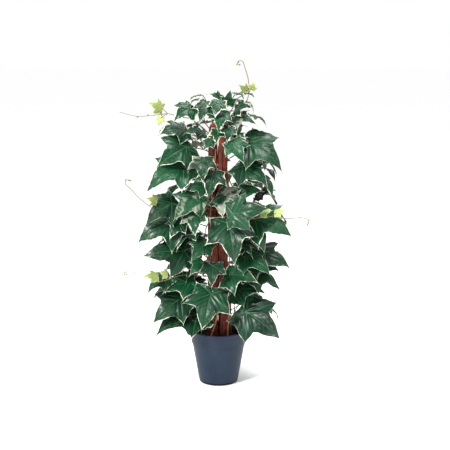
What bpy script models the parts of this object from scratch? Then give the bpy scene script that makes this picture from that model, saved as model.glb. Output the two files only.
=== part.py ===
"""Potted ivy: a tapered pot of soil with a bundle of bark canes standing in it, climbing vines round the bundle,
sprays of lobed leaves on thin stems, and young shoots that end in tendrils.

Metres, +Z up. The origin is the middle of the pot's base, and -Y is the side the plant shows best.
Run it with: blender --background --python part.py
"""

import math

import bmesh
import bpy
import numpy as np
from mathutils import Matrix, Vector
from mathutils.bvhtree import BVHTree

MM = 0.001
GAP = 0.4 * MM  # air between two pieces that touch
FRONT = Vector((0, -1, 0))

# The pot, a turned shell with a collar, standing on its flat base.
POT_HEIGHT = 138 * MM
RIM_RADIUS = 75 * MM
BASE_RADIUS = 49.5 * MM
COLLAR_HEIGHT = 34 * MM
COLLAR_STEP = 2.4 * MM
COLLAR_LIP = 1.5 * MM
POT_WALL = 2.4 * MM
FOOT_CHAMFER = 3 * MM
POT_SIDES = 40

# The soil fills the pot to a little under its rim, round the foot of the bundle.
SOIL_TOP = 119 * MM
SOIL_CROWN = 5 * MM
SOCKET_FLOOR = 25 * MM

# The bundle's canes: (x and y of the foot, radius, height of the top), all in mm. Two thick ones stand in front.
CANES = (
    (-14.6, -13.5, 14.2, 366),
    (13.4, -14.5, 13.0, 642),
    (28.6, -3.0, 5.5, 300),
    (11.5, 13.5, 13.8, 618),
    (-16.0, 15.0, 13.4, 664),
)
CANE_SIDES = 10
CANE_TAPER = 0.13  # how much the bundle and its canes narrow by the top

# Climbing vines: (start angle in degrees, turns, height of the top in mm).
VINES = ((-118, 0.45, 520), (-58, 0.4, 560), (70, 0.5, 600))
VINE_RADIUS = 1.6 * MM
VINE_STEP = 22 * MM
VINE_SPREAD = 9 * MM  # how far a vine stands off at the soil

# Leaf stems, runners and their tendrils.
STEM_RADIUS = 1.2 * MM
STEM_STEPS = 3
STEM_CLEARANCE = 0.4 * MM
TENDRIL_TAPER = 0.55
CURL_STEP = 4.5 * MM
CURL_SHRINK = 0.9
SLIVER = 0.06 * MM

# One half of the margin of a leaf that is one unit long from its stalk to its tip, as (degrees from the midrib,
# radius): lobe tips and the hollows between them in turn. The other half mirrors it.
MARGIN_KEYS = ((0, 1.0), (31, 0.42), (54, 0.69), (88, 0.35), (120, 0.46), (180, 0.15))
FULL_RINGS = (0.55, 1.0)  # the rings of points on a blade that shows
PLAIN_RINGS = (1.0,)
LEAF_THICKNESS = 3.2 * MM  # at the stalk, which it takes in
CLEAR_THICKNESS = 4.4 * MM  # what the space test uses, so that leaves stay a little apart
RING_SHARE = 0.4  # the share of it that is left at the inner ring
FULL_RINGS = (0.55, 1.0)  # the rings of points on a blade that shows
PLAIN_RINGS = (1.0,)
COARSE_RAYS = (0, 33, 58, 92, 124, 180)

# Leaves that are placed by hand, two to a spray. Each is (base, tip, lean): the points where the stalk meets the blade
# and where the middle lobe ends, in mm, and how far the face turns from the sky to the front, in degrees.
FRONT_SPRAYS = {
    "low_right": (((70, -70, 200), (162, -95, 132), 65), ((45, -30, 244), (128, -60, 241), 45)),
    "low_middle": (((-18, -85, 249), (-43, -120, 157), 65), ((-54, -40, 184), (-170, -90, 138), 35)),
    "low_left": (((-79, -50, 233), (-155, -80, 166), 60), ((-71, -60, 273), (-142, -90, 242), 55)),
    "outer_left": (((-130, -60, 286), (-182, -75, 244), 50), ((-100, -75, 324), (-134, -90, 308), 60)),
    "notched_middle": (((-13, -95, 322), (-16, -125, 270), 70), ((-41, -80, 326), (-72, -100, 296), 60)),
    "low_right_back": (((28, -80, 296), (106, -110, 280), 50), ((79, -20, 308), (161, -40, 292), 30)),
    "long_left": (((-80, -60, 352), (-192, -95, 334), 45), ((-71, -20, 377), (-130, -50, 360), 35)),
    "middle_left": (((-33, -85, 377), (-69, -115, 332), 65), ((-94, -80, 428), (-120, -105, 385), 60)),
    "long_right": (((85, -20, 345), (190, -50, 299), 45), ((54, -40, 361), (107, -70, 357), 35)),
    "right_shade": (((66, -60, 337), (133, -100, 293), 50), ((68, -30, 420), (125, -60, 342), 40)),
    "broad_middle": (((26, -90, 425), (42, -125, 322), 70), ((9, -78, 491), (76, -98, 454), 55)),
    "reaching_right": (((82, -60, 432), (178, -100, 395), 45), ((33, -112, 455), (122, -134, 470), 55)),
    "reaching_left": (((-107, -60, 427), (-205, -95, 394), 40), ((-114, -70, 473), (-183, -95, 421), 55)),
    "broad_left": (((-54, -95, 492), (-111, -125, 436), 60), ((-59, -105, 452), (-54, -130, 396), 65)),
    "upper_middle": (((-13, -90, 547), (-25, -125, 486), 65), ((-37, -85, 580), (-37, -115, 516), 60)),
    "upper_left": (((-84, -70, 562), (-181, -110, 501), 55), ((-33, -90, 518), (-85, -100, 505), 50)),
    "curled_right": (((60, -60, 563), (126, -100, 509), 50), ((98, -20, 486), (152, -40, 496), 30)),
    "shaded_right": (((28, -46, 484), (105, -72, 513), 50), ((68, -20, 536), (31, -35, 518), 20)),
    "arched_right": (((74, -50, 618), (163, -86, 545), 50), ((38, -40, 676), (98, -70, 663), 45)),
    "high_middle": (((32, -80, 621), (59, -105, 572), 65), ((-1, -70, 649), (-6, -85, 614), 60)),
    "high_left": (((-79, -60, 609), (-160, -95, 560), 60), ((-85, -30, 648), (-152, -60, 619), 30)),
    "high_inner": (((-38, -50, 643), (-88, -60, 641), 30), ((-18, -80, 626), (-37, -92, 600), 60)),
    "crown_left": (((-69, -40, 703), (-113, -65, 669), 55), ((-79, -50, 679), (-45, -75, 643), 55)),
    "crown_front": (((-28, -60, 713), (-48, -85, 662), 60), ((8, -65, 692), (-1, -90, 642), 60)),
    "crown_middle": (((1, -60, 718), (-8, -85, 678), 60), ((23, -65, 656), (17, -84, 614), 60)),
    "crown_right": (((45, -40, 700), (89, -65, 705), 55), ((52, -40, 712), (46, -53, 747), 80)),
    "crown_top": (((9, -20, 719), (-36, -33, 735), 30), ((18, -30, 714), (24, -39, 753), 80)),
}

# Sprays on the far side follow a rule: heights in even steps, turning by the golden share of the far arc.
REAR_COUNT = 17
REAR_HEIGHTS = (205, 700)  # mm, of the lowest and highest middle leaf
REAR_ARC = 208  # degrees, centred on +Y
GOLDEN_SHARE = 0.618
REAR_TRIO = ((-27, -34, 0.9), (0, 0, 1.0), (29, -18, 0.75))  # each leaf's turn, rise in mm, and size
DROOP = (22, 52)  # degrees below the level, the least and the most
LEAF_LENGTHS = ((150, 118), (450, 108), (620, 78), (760, 40))  # (height, blade length) in mm
LEAF_REACH = ((150, 180), (450, 188), (620, 150), (760, 62))  # (height, radius of the tip) in mm
REAR_LEAN = 48
INNER_TURN = (34, 78)  # degrees from the front, of a front spray's inner leaf
INNER_SIZE = 0.62  # of the length of a leaf at that height
INNER_RISE = 20  # mm above the spray's first leaf
NEAREST_BLADE = 56 * MM  # how near a far-side blade comes to the axis
HIGHEST_ROOT = 640 * MM

# How a leaf may give way to its neighbours: pushed outwards in mm, and lifted, swung and leaned in degrees.
PUSHES = (0, 6, 12, -6, 18, 26, 36)
LIFTS = (0, 6, -6, 12, -12, 20)
SWINGS = (0, 8, -8, 16, -16)
LEANS = (0, 12, -12)

# How its stem may run. From the bundle: turned in degrees, dropped in mm, and bowed up in mm. From another stem: at
# which of its points, and bowed (up, aside) in mm.
ROOT_TURNS = (0, 20, -20, 40, -40, 60, -60, 80, -80)
ROOT_DROPS = (20, 36, 6, 52, 68)
ROOT_RISES = (8, 20, -4)
SIDE_JOINTS = (1, 2, 0)
SIDE_BOWS = ((8, 0), (0, 0), (18, 0), (-8, 0), (8, 14), (8, -14), (30, 0), (0, 28), (0, -28))

# Young shoots, all in mm: the runner's points, its curl as (turns, radius at the start), and its small leaves.
SHOOTS = {
    "shoot_top_right": (
        ((53, -22, 692), (67, -22, 712), (75, -22, 738), (73, -22, 772), (66, -22, 796), (61, -22, 812)),
        (0.8, 9),
        (((68, -26, 744), (46, -34, 760), 80), ((82, -26, 748), (90, -36, 768), 75)),
    ),
    "shoot_top_left": (
        ((-92, -30, 680), (-123, -32, 688), (-160, -32, 684), (-200, -30, 682), (-241, -30, 692)),
        (0.0, 1),
        (((-140, -36, 702), (-174, -42, 716), 70), ((-140, -38, 678), (-146, -46, 656), 75)),
    ),
    "shoot_middle_left": (
        ((-144, -64, 455), (-168, -64, 468), (-192, -62, 487), (-212, -60, 508), (-224, -60, 519)),
        (-0.6, 9),
        (((-152, -74, 482), (-178, -82, 490), 70),),
    ),
    "shoot_middle_right": (
        ((80, -92, 438), (104, -98, 442), (129, -102, 445), (165, -102, 440), (198, -100, 442), (214, -100, 439)),
        (-0.5, 9),
        (((106, -110, 455), (134, -116, 462), 55), ((140, -108, 455), (168, -112, 459), 45)),
    ),
    "shoot_low_left": (
        ((-138, -88, 284), (-160, -88, 287), (-186, -84, 298), (-212, -82, 307), (-226, -82, 308)),
        (0.6, 6),
        (((-152, -96, 298), (-186, -100, 296), 50), ((-126, -94, 302), (-148, -104, 312), 60)),
    ),
}

# Ways a shoot may shift: (nearer, higher) in mm.
SHOOT_SHIFTS = ((0, 0), (8, 0), (-8, 0), (16, 0), (8, 8), (24, 0), (-16, 0), (16, 8), (32, 0), (24, 12), (40, 6))


def clear_scene():
    """Removes every object, so that only the ivy is left."""
    for obj in list(bpy.data.objects):
        bpy.data.objects.remove(obj)


def principled(name, color, roughness, metallic=0.0):
    """A Principled BSDF material with one colour."""
    material = bpy.data.materials.new(name)
    material.use_nodes = True
    shader = material.node_tree.nodes["Principled BSDF"]
    shader.inputs["Base Color"].default_value = (*color, 1.0)
    shader.inputs["Roughness"].default_value = roughness
    shader.inputs["Metallic"].default_value = metallic
    material.diffuse_color = (*color, 1.0)
    return material


def add_object(name, mesh, collection, material=None):
    """Links a mesh as a named object at the origin."""
    obj = bpy.data.objects.new(name, mesh)
    collection.objects.link(obj)
    if material:
        mesh.materials.clear()
        mesh.materials.append(material)
    return obj


def evaluated_mesh(obj):
    """The object's mesh with its modifiers applied, in world space."""
    bpy.context.view_layer.update()
    graph = bpy.context.evaluated_depsgraph_get()
    mesh = bpy.data.meshes.new_from_object(obj.evaluated_get(graph))
    mesh.transform(obj.matrix_world)
    return mesh


def weld(mesh):
    """Merges the doubled vertices that a curve's caps leave."""
    shape = bmesh.new()
    shape.from_mesh(mesh)
    bmesh.ops.remove_doubles(shape, verts=shape.verts, dist=0.001 * MM)
    shape.to_mesh(mesh)
    shape.free()


def turned(name, profile, sides, collection, material=None):
    """A solid of revolution. Its profile of (radius, height) points starts and ends on the axis, and runs from top to
    bottom down its outer side."""
    mesh = bpy.data.meshes.new(name)
    points = [(radius, 0.0, height) for radius, height in profile]
    mesh.from_pydata(points, [(i, i + 1) for i in range(len(points) - 1)], [])
    obj = add_object(name, mesh, collection, material)
    screw = obj.modifiers.new("turn", "SCREW")
    screw.steps = sides
    screw.render_steps = sides
    screw.use_merge_vertices = True
    screw.merge_threshold = 0.01 * MM
    return obj


def tube_mesh(points, radius, taper=1.0):
    """A closed four-sided tube along the points, as a mesh. Its radius falls evenly to the taper's share of it."""
    curve = bpy.data.curves.new("tube", "CURVE")
    curve.dimensions = "3D"
    curve.bevel_depth = radius
    curve.bevel_resolution = 0
    curve.use_fill_caps = True
    spline = curve.splines.new("POLY")
    spline.points.add(len(points) - 1)
    for i, (place, point) in enumerate(zip(spline.points, points)):
        place.co = (*point, 1.0)
        place.radius = 1 + (taper - 1) * i / (len(points) - 1)
    obj = bpy.data.objects.new("tube", curve)
    bpy.context.scene.collection.objects.link(obj)
    mesh = evaluated_mesh(obj)
    bpy.data.objects.remove(obj)
    weld(mesh)
    return mesh


def inner_radius(height):
    """The radius of the pot's inside at a height."""
    inside_rim = RIM_RADIUS - COLLAR_STEP - POT_WALL
    inside_base = BASE_RADIUS - POT_WALL
    return inside_base + (inside_rim - inside_base) * height / POT_HEIGHT


def make_pot(collection, material):
    """The pot: a turned shell with a flat base and a collar that steps in to the wall below it."""
    collar_foot = POT_HEIGHT - COLLAR_HEIGHT
    wall = inner_radius(collar_foot) + POT_WALL
    profile = (
        (0.0, POT_WALL),
        (inner_radius(POT_WALL), POT_WALL),
        (inner_radius(POT_HEIGHT), POT_HEIGHT),
        (RIM_RADIUS, POT_HEIGHT),
        (wall + COLLAR_STEP, collar_foot),
        (wall, collar_foot - COLLAR_LIP),
        (BASE_RADIUS, FOOT_CHAMFER),
        (BASE_RADIUS - FOOT_CHAMFER, 0.0),
        (0.0, 0.0),
    )
    return turned("pot", profile, POT_SIDES, collection, material)


def bundle_edge(height, offset):
    """The bundle's canes at a height, as rows of (x, y, radius grown by the offset) in metres."""
    return [
        (x * MM, y * MM, radius * MM + offset)
        for x, y, radius, top in CANES
        if top * MM > height - 2 * VINE_STEP
    ]


def bundle_reach(angle, height, offset):
    """How far a string drawn tight round the bundle, that offset from it, is from the axis at an angle in radians."""
    reach = []
    for turn in np.radians(range(-75, 76, 5)):
        direction = (math.cos(angle + turn), math.sin(angle + turn))
        support = max(x * direction[0] + y * direction[1] + r for x, y, r in bundle_edge(height, offset))
        reach.append(support / math.cos(turn))
    return min(reach)


def make_soil(collection, material):
    """The soil: a turned plug with a crowned top, and a socket in which the bundle stands."""
    fit = GAP + 0.3 * MM
    socket = max(math.hypot(x, y) + r for x, y, r, top in CANES) * MM + fit
    bottom = POT_WALL + fit
    edge = inner_radius(SOIL_TOP) - fit
    profile = (
        (0.0, SOCKET_FLOOR),
        (socket, SOCKET_FLOOR),
        (socket, SOIL_TOP + SOIL_CROWN),
        ((socket + edge) / 2, SOIL_TOP + 0.7 * SOIL_CROWN),
        (edge, SOIL_TOP),
        (inner_radius(bottom) - fit, bottom),
        (0.0, bottom),
    )
    return turned("soil", profile, POT_SIDES, collection, material)


def make_cane(k, collection, material):
    """One cane: a turned bar with a bluntly pointed end, leaning in as the bundle narrows."""
    x, y, radius, top = (value * MM for value in CANES[k])
    foot = SOCKET_FLOOR + GAP
    share = (top - foot) / (CANES[-1][3] * MM - foot)
    tip = radius * (1 - CANE_TAPER * share)
    profile = (
        (0.0, top),
        (0.5 * tip, top - 0.25 * tip),
        (0.88 * tip, top - 0.9 * tip),
        (tip, top - 1.8 * tip),
        (radius, foot),
        (0.0, foot),
    )
    cane = turned(f"cane_{k + 1}", profile, CANE_SIDES, collection, material)
    cane.location = (x, y, 0.0)
    lean = Vector((-CANE_TAPER * share * x, -CANE_TAPER * share * y, top))
    cane.rotation_mode = "QUATERNION"
    cane.rotation_quaternion = Vector((0, 0, 1)).rotation_difference(lean)
    return cane


def vine_path(start, turns, top):
    """A vine's centre line: it leaves the soil a little way off, then climbs the bundle in a slow helix."""
    foot = SOIL_TOP + SOIL_CROWN + VINE_RADIUS + GAP
    count = int((top * MM - foot) / VINE_STEP)
    points = []
    for i in range(count + 1):
        share = i / count
        height = foot + (top * MM - foot) * share
        angle = math.radians(start) + math.tau * turns * share
        reach = bundle_reach(angle, height, VINE_RADIUS + GAP) + VINE_SPREAD * max(0.0, 1 - 8 * share) ** 2
        points.append(Vector((reach * math.cos(angle), reach * math.sin(angle), height)))
    return points


def interpolate(table, height):
    """The value at a height of a table of (height, value) rows."""
    heights = [row[0] for row in table]
    values = [row[1] for row in table]
    return float(np.interp(height, heights, values))


def leaf_traits(seed):
    """The small differences between one leaf and the next, drawn from its own seed."""
    draw = np.random.default_rng(seed)
    return {
        "width": draw.uniform(0.92, 1.12),
        "arch": draw.uniform(0.10, 0.22),
        "fold": draw.uniform(0.05, 0.22),
        "curl": draw.uniform(0.30, 0.75),
        "twist": draw.uniform(-0.22, 0.22),
        "phase": draw.uniform(0.0, math.tau),
    }


def blade_height(x, y, ring, angle, traits):
    """How high the unit blade stands over its chord: an arch along the midrib, a fold beside it, side lobes that
    curl down, a twist, and a wavy margin."""
    along = np.where(x < 0, x / (1 - 1.5 * np.minimum(x, 0)), x)
    arch = 4 * traits["arch"] * along * (1 - along) * (0.7 + 0.6 * along)
    fold = traits["fold"] * (np.sqrt(y**2 + 0.0009) - 0.03)
    curl = -traits["curl"] * y**2
    twist = traits["twist"] * along * y
    wave = 0.04 * ring**3 * np.sin(7 * angle + traits["phase"])
    return arch + fold + curl + twist + wave


def leaf_axes(leaf):
    """The blade's own axes: along the midrib, to its left, and out of its face, and its length."""
    chord = leaf["tip"] - leaf["base"]
    length = chord.length
    along = chord / length
    lean = math.radians(leaf["lean"])
    face = leaf["facing"] * math.sin(lean) + Vector((0, 0, 1)) * math.cos(lean)
    face = (face - along * face.dot(along)).normalized()
    return along, face.cross(along), face, length


def leaf_points(leaf):
    """Points of the blade's middle surface, one row for each ring from the stalk to the margin."""
    along, side, face, length = leaf_axes(leaf)
    traits = leaf["traits"]
    keys = np.array([*MARGIN_KEYS, *((-turn, radius) for turn, radius in MARGIN_KEYS[-2:0:-1])])
    angle, ring = np.meshgrid(np.radians(keys[:, 0]), leaf["rings"])
    x = keys[:, 1] * ring * np.cos(angle)
    y = keys[:, 1] * ring * np.sin(angle) * traits["width"]
    z = blade_height(x, y, ring, angle, traits)
    axes = np.array([along, side, face])
    return np.array(leaf["base"]) + length * np.stack([x, y, z], axis=-1) @ axes


def blade_shape(leaf, thickness):
    """(vertices, faces) of a blade that is thickest at its stalk and runs out to an edge at its margin."""
    *inner, margin = leaf_points(leaf)
    count = len(margin)
    base = np.array(leaf["base"])
    half = 0.5 * thickness * np.array(leaf_axes(leaf)[2])
    vertices = [base + half, base - half, *margin]
    faces = []
    for side, middle in ((half, 0), (-half, 1)):
        loops = [2]
        for row in inner:
            loops.append(len(vertices))
            vertices += [*(row + side * RING_SHARE)]
        for i in range(count):
            j = (i + 1) % count
            made = [(loops[-1] + i, loops[-1] + j, middle)]
            made += [(low + i, low + j, high + j, high + i) for low, high in zip(loops, loops[1:])]
            faces += [tuple(reversed(f)) for f in made] if middle else made
    return [Vector(v) for v in vertices], faces


def outward_of(point):
    """The level direction from the bundle's axis to a point."""
    return Vector((point.x, point.y, 0.0)).normalized()


def make_leaf(seed, base, tip, lean, facing, rings):
    """A leaf's record, its points in metres and its lean in degrees."""
    return {
        "base": Vector(base),
        "tip": Vector(tip),
        "lean": lean,
        "facing": facing,
        "rings": rings,
        "traits": leaf_traits(seed),
    }


def inner_leaf(number, first):
    """A small leaf beside the bundle, a little above the spray's first one and on the same side of the front."""
    seed = 10 * number + 5
    draw = np.random.default_rng(seed)
    angle = math.radians(-90 + math.copysign(draw.uniform(*INNER_TURN), first[0]))
    droop = math.radians(draw.uniform(*DROOP))
    length = interpolate(LEAF_LENGTHS, first[2]) * MM * INNER_SIZE
    outward = Vector((math.cos(angle), math.sin(angle), 0.0))
    base = outward * NEAREST_BLADE + Vector((0, 0, (first[2] + INNER_RISE) * MM))
    tip = base + (outward * math.cos(droop) - Vector((0, 0, math.sin(droop)))) * length
    return make_leaf(seed, base, tip, REAR_LEAN, outward, PLAIN_RINGS)


def front_sprays():
    """The sprays that are placed by hand, their faces turned to the front, each with a small inner leaf."""
    sprays = {}
    for number, (name, rows) in enumerate(FRONT_SPRAYS.items()):
        leaves = [
            make_leaf(10 * number + k, Vector(base) * MM, Vector(tip) * MM, lean, FRONT, FULL_RINGS)
            for k, (base, tip, lean) in enumerate(rows)
        ]
        sprays[f"spray_{name}"] = [*leaves, inner_leaf(number, rows[0][0])]
    return sprays


def rear_sprays():
    """The sprays of the far side: three leaves each, at even steps of height, every tip drooping outwards."""
    sprays = {}
    for number in range(REAR_COUNT):
        share = number / (REAR_COUNT - 1)
        middle = REAR_HEIGHTS[0] + (REAR_HEIGHTS[1] - REAR_HEIGHTS[0]) * share
        turn = 90 + REAR_ARC * ((number * GOLDEN_SHARE + 0.25) % 1 - 0.5)
        leaves = []
        for k, (aside, rise, size) in enumerate(REAR_TRIO):
            seed = 1000 + 10 * number + k
            draw = np.random.default_rng(seed)
            angle = math.radians(turn + aside + draw.uniform(-6, 6))
            height = (middle + rise) * MM
            length = interpolate(LEAF_LENGTHS, height / MM) * MM * size
            droop = math.radians(draw.uniform(*DROOP))
            reach = interpolate(LEAF_REACH, height / MM) * MM * draw.uniform(0.86, 1.0)
            near = max(reach - length * math.cos(droop), NEAREST_BLADE)
            outward = Vector((math.cos(angle), math.sin(angle), 0.0))
            base = outward * near + Vector((0, 0, height + 0.5 * length * math.sin(droop)))
            tip = base + (outward * math.cos(droop) - Vector((0, 0, math.sin(droop)))) * length
            leaves.append(make_leaf(seed, base, tip, REAR_LEAN, outward, PLAIN_RINGS))
        sprays[f"spray_rear_{number + 1:02d}"] = leaves
    return sprays


def postures():
    """Ways a leaf can give way to its neighbours, the slightest first: (push outwards in mm, and lift, swing and lean
    in degrees)."""
    found = []
    for push in PUSHES:
        for lift in LIFTS:
            for swing in SWINGS:
                for lean in LEANS:
                    effort = abs(push) / 6 + abs(lift) / 6 + abs(swing) / 8 + abs(lean) / 12
                    found.append((effort, push, lift, swing, lean))
    return [row[1:] for row in sorted(found, key=lambda row: row[0])]


def moved_leaf(leaf, posture):
    """The leaf in one of those postures."""
    push, lift, swing, lean = posture
    chord = leaf["tip"] - leaf["base"]
    chord = Matrix.Rotation(math.radians(swing), 3, "Z") @ chord
    chord.z += chord.length * math.sin(math.radians(lift))
    base = leaf["base"] + outward_of(leaf["base"]) * push * MM
    return {**leaf, "base": base, "tip": base + chord, "lean": leaf["lean"] + lean}


class Crowd:
    """The shapes that already take up space, by name."""

    def __init__(self):
        self.shapes = {}

    def add(self, name, vertices, faces):
        """Adds a shape."""
        points = np.array(vertices)
        self.shapes[name] = (BVHTree.FromPolygons(vertices, faces), points.min(axis=0), points.max(axis=0))

    def is_clear(self, vertices, faces, apart_from=()):
        """Whether a shape touches none of the others, apart from those named."""
        tree = BVHTree.FromPolygons(vertices, faces)
        points = np.array(vertices)
        low, high = points.min(axis=0), points.max(axis=0)
        for name, (other, other_low, other_high) in self.shapes.items():
            near = (low < other_high).all() and (high > other_low).all()
            if near and name not in apart_from and tree.overlap(other):
                return False
        return True


def mesh_shape(mesh):
    """(vertices, faces) of a mesh."""
    return [v.co.copy() for v in mesh.vertices], [tuple(p.vertices) for p in mesh.polygons]


def stem_shape(points):
    """(vertices, faces) of the space that a stem needs."""
    return mesh_shape(tube_mesh(points, STEM_RADIUS + STEM_CLEARANCE))


def bowed(start, end, bow):
    """Points of a stem from start to end, its middle pulled by half of the bow."""
    middle = (start + end) / 2 + bow
    points = []
    for i in range(STEM_STEPS + 1):
        t = i / STEM_STEPS
        points.append(start * (1 - t) ** 2 + middle * 2 * t * (1 - t) + end * t**2)
    return points


def root_stems(end):
    """Routes for a stem from the bundle's side to a point, the plainest first."""
    towards = math.atan2(end.y, end.x)
    for turn in ROOT_TURNS:
        for drop in ROOT_DROPS:
            height = min(end.z - drop * MM, HIGHEST_ROOT)
            angle = towards + math.radians(turn)
            reach = bundle_reach(angle, height, STEM_RADIUS + GAP + STEM_CLEARANCE)
            root = Vector((reach * math.cos(angle), reach * math.sin(angle), height))
            for rise in ROOT_RISES:
                yield bowed(root, end, Vector((0, 0, rise * MM)))


def side_stems(stem, end):
    """Routes for a stalk from a spray's first stem to a point, the plainest first."""
    across = outward_of(end)
    across = Vector((-across.y, across.x, 0.0))
    for joint in SIDE_JOINTS:
        for rise, aside in SIDE_BOWS:
            yield bowed(stem[joint], end, Vector((0, 0, rise * MM)) + across * aside * MM)


def place_leaf(leaf, stems, crowd):
    """The first posture and stem with which the leaf touches nothing, as (leaf, points of its stem). The stems are
    those that the spray already has, which the new one may join."""
    own = [name for name, _ in stems]
    for posture in postures():
        tried = moved_leaf(leaf, posture)
        if not crowd.is_clear(*blade_shape(tried, CLEAR_THICKNESS)):
            continue
        routes = side_stems(stems[0][1], tried["base"]) if stems else root_stems(tried["base"])
        for stem in routes:
            if crowd.is_clear(*stem_shape(stem), own):
                return tried, stem
    return None


def grow_spray(name, leaves, crowd):
    """Places a spray's leaves and stems, as (leaves, stems), and adds them to the crowd. A leaf that finds no room is
    left out."""
    placed, stems = [], []
    for k, leaf in enumerate(leaves):
        found = place_leaf(leaf, stems, crowd)
        if not found:
            continue
        placed.append(found[0])
        stems.append((f"{name}/stem_{k}", found[1]))
        crowd.add(f"{name}/blade_{k}", *blade_shape(found[0], CLEAR_THICKNESS))
        crowd.add(stems[-1][0], *stem_shape(found[1]))
    return placed, [stem for _, stem in stems]


def curl_points(points, turns, radius):
    """The tendril at a runner's end: it turns upright in a circle that shrinks as it goes."""
    last = points[-1]
    heading = last - points[-2]
    angle = math.atan2(heading.z, heading.x)
    found = []
    for _ in range(round(abs(turns) * math.tau * radius * MM / CURL_STEP)):
        turn = CURL_STEP * CURL_SHRINK ** len(found)
        angle += math.copysign(CURL_STEP / (radius * MM), turns)
        last = last + Vector((turn * math.cos(angle), 0.0, turn * math.sin(angle)))
        found.append(last)
    return found


def place_shoot(row, crowd):
    """The first way to grow a shoot in which it touches nothing, as (leaves, runner, stalks)."""
    runner, curl, leaves = row
    for nearer, rise in SHOOT_SHIFTS:
        shift = Vector((0, -nearer * MM, rise * MM))
        points = [Vector(point) * MM + shift for point in runner]
        placed = []
        stalks = []
        for k, (base, tip, lean) in enumerate(leaves):
            base, tip = Vector(base) * MM + shift, Vector(tip) * MM + shift
            leaf = make_leaf(2000 + k, base, tip, lean, FRONT, PLAIN_RINGS)
            placed.append(leaf)
            stalks.append([min(points, key=lambda point: (point - leaf["base"]).length), leaf["base"]])
        shapes = [blade_shape(leaf, CLEAR_THICKNESS) for leaf in placed]
        shapes += [stem_shape(points), *(stem_shape(stalk) for stalk in stalks)]
        if not all(crowd.is_clear(*shape) for shape in shapes):
            continue
        for stem in root_stems(points[0]):
            if crowd.is_clear(*stem_shape(stem)):
                runner = [*stem[:-1], *points, *curl_points(points, *curl)]
                for shape in (*shapes, stem_shape(stem)):
                    crowd.add(f"shoot/{len(crowd.shapes)}", *shape)
                return placed, runner, stalks
    return None


def mesh_of(vertices, faces):
    """A mesh from (vertices, faces)."""
    mesh = bpy.data.meshes.new("piece")
    mesh.from_pydata(vertices, [], faces)
    mesh.update()
    return mesh


def drop_slivers(mesh):
    """Takes out the needle-thin triangles that a union leaves: those under the largest size that keeps the surface
    closed."""
    for share in (1.0, 0.5, 0.2):
        shape = bmesh.new()
        shape.from_mesh(mesh)
        bmesh.ops.triangulate(shape, faces=shape.faces)
        bmesh.ops.dissolve_degenerate(shape, edges=shape.edges, dist=SLIVER * share)
        bmesh.ops.triangulate(shape, faces=shape.faces)
        closed = all(len(edge.link_faces) == 2 for edge in shape.edges)
        if closed:
            shape.to_mesh(mesh)
        shape.free()
        if closed:
            return


def joined(name, meshes, collection, helpers, material):
    """One solid: the Boolean union of several meshes."""
    whole = add_object(name, meshes[0], helpers)
    others = []
    for k, mesh in enumerate(meshes[1:]):
        other = add_object(f"{name}_piece{k}", mesh, helpers)
        others.append(other)
        union = whole.modifiers.new(f"union_{k}", "BOOLEAN")
        union.operation = "UNION"
        union.solver = "MANIFOLD"
        union.object = other
    mesh = evaluated_mesh(whole)
    drop_slivers(mesh)
    for obj in (whole, *others):
        bpy.data.objects.remove(obj)
    return add_object(name, mesh, collection, material)


def main():
    """Builds the whole plant."""
    clear_scene()
    ivy = bpy.data.collections.new("potted_ivy")
    helpers = bpy.data.collections.new("helpers")
    for collection in (ivy, helpers):
        bpy.context.scene.collection.children.link(collection)

    pot_plastic = principled("pot_plastic", (0.030, 0.045, 0.075), 0.5)
    soil_dark = principled("soil", (0.012, 0.010, 0.009), 0.95)
    bark = principled("bark", (0.16, 0.035, 0.018), 0.75)
    stem_skin = principled("stem", (0.25, 0.13, 0.04), 0.6)
    leaf_green = principled("leaf", (0.012, 0.085, 0.032), 0.45)
    young_green = principled("young_leaf", (0.35, 0.42, 0.08), 0.5)

    make_pot(ivy, pot_plastic)
    make_soil(ivy, soil_dark)
    for k in range(len(CANES)):
        make_cane(k, ivy, bark)
    for k, vine in enumerate(VINES):
        mesh = tube_mesh(vine_path(*vine), VINE_RADIUS)
        add_object(f"vine_{k + 1}", mesh, ivy, stem_skin)
    crowd = Crowd()
    for obj in ivy.objects:
        crowd.add(obj.name, *mesh_shape(evaluated_mesh(obj)))

    for name, leaves in {**front_sprays(), **rear_sprays()}.items():
        placed, stems = grow_spray(name, leaves, crowd)
        meshes = [tube_mesh(stem, STEM_RADIUS) for stem in stems]
        meshes += [mesh_of(*blade_shape(leaf, LEAF_THICKNESS)) for leaf in placed]
        joined(name, meshes, ivy, helpers, leaf_green)
    for name, row in SHOOTS.items():
        placed, runner, stalks = place_shoot(row, crowd)
        meshes = [tube_mesh(runner, STEM_RADIUS, TENDRIL_TAPER)]
        meshes += [tube_mesh(stalk, STEM_RADIUS) for stalk in stalks]
        meshes += [mesh_of(*blade_shape(leaf, LEAF_THICKNESS)) for leaf in placed]
        joined(name, meshes, ivy, helpers, young_green)


main()
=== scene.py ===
import math

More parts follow.
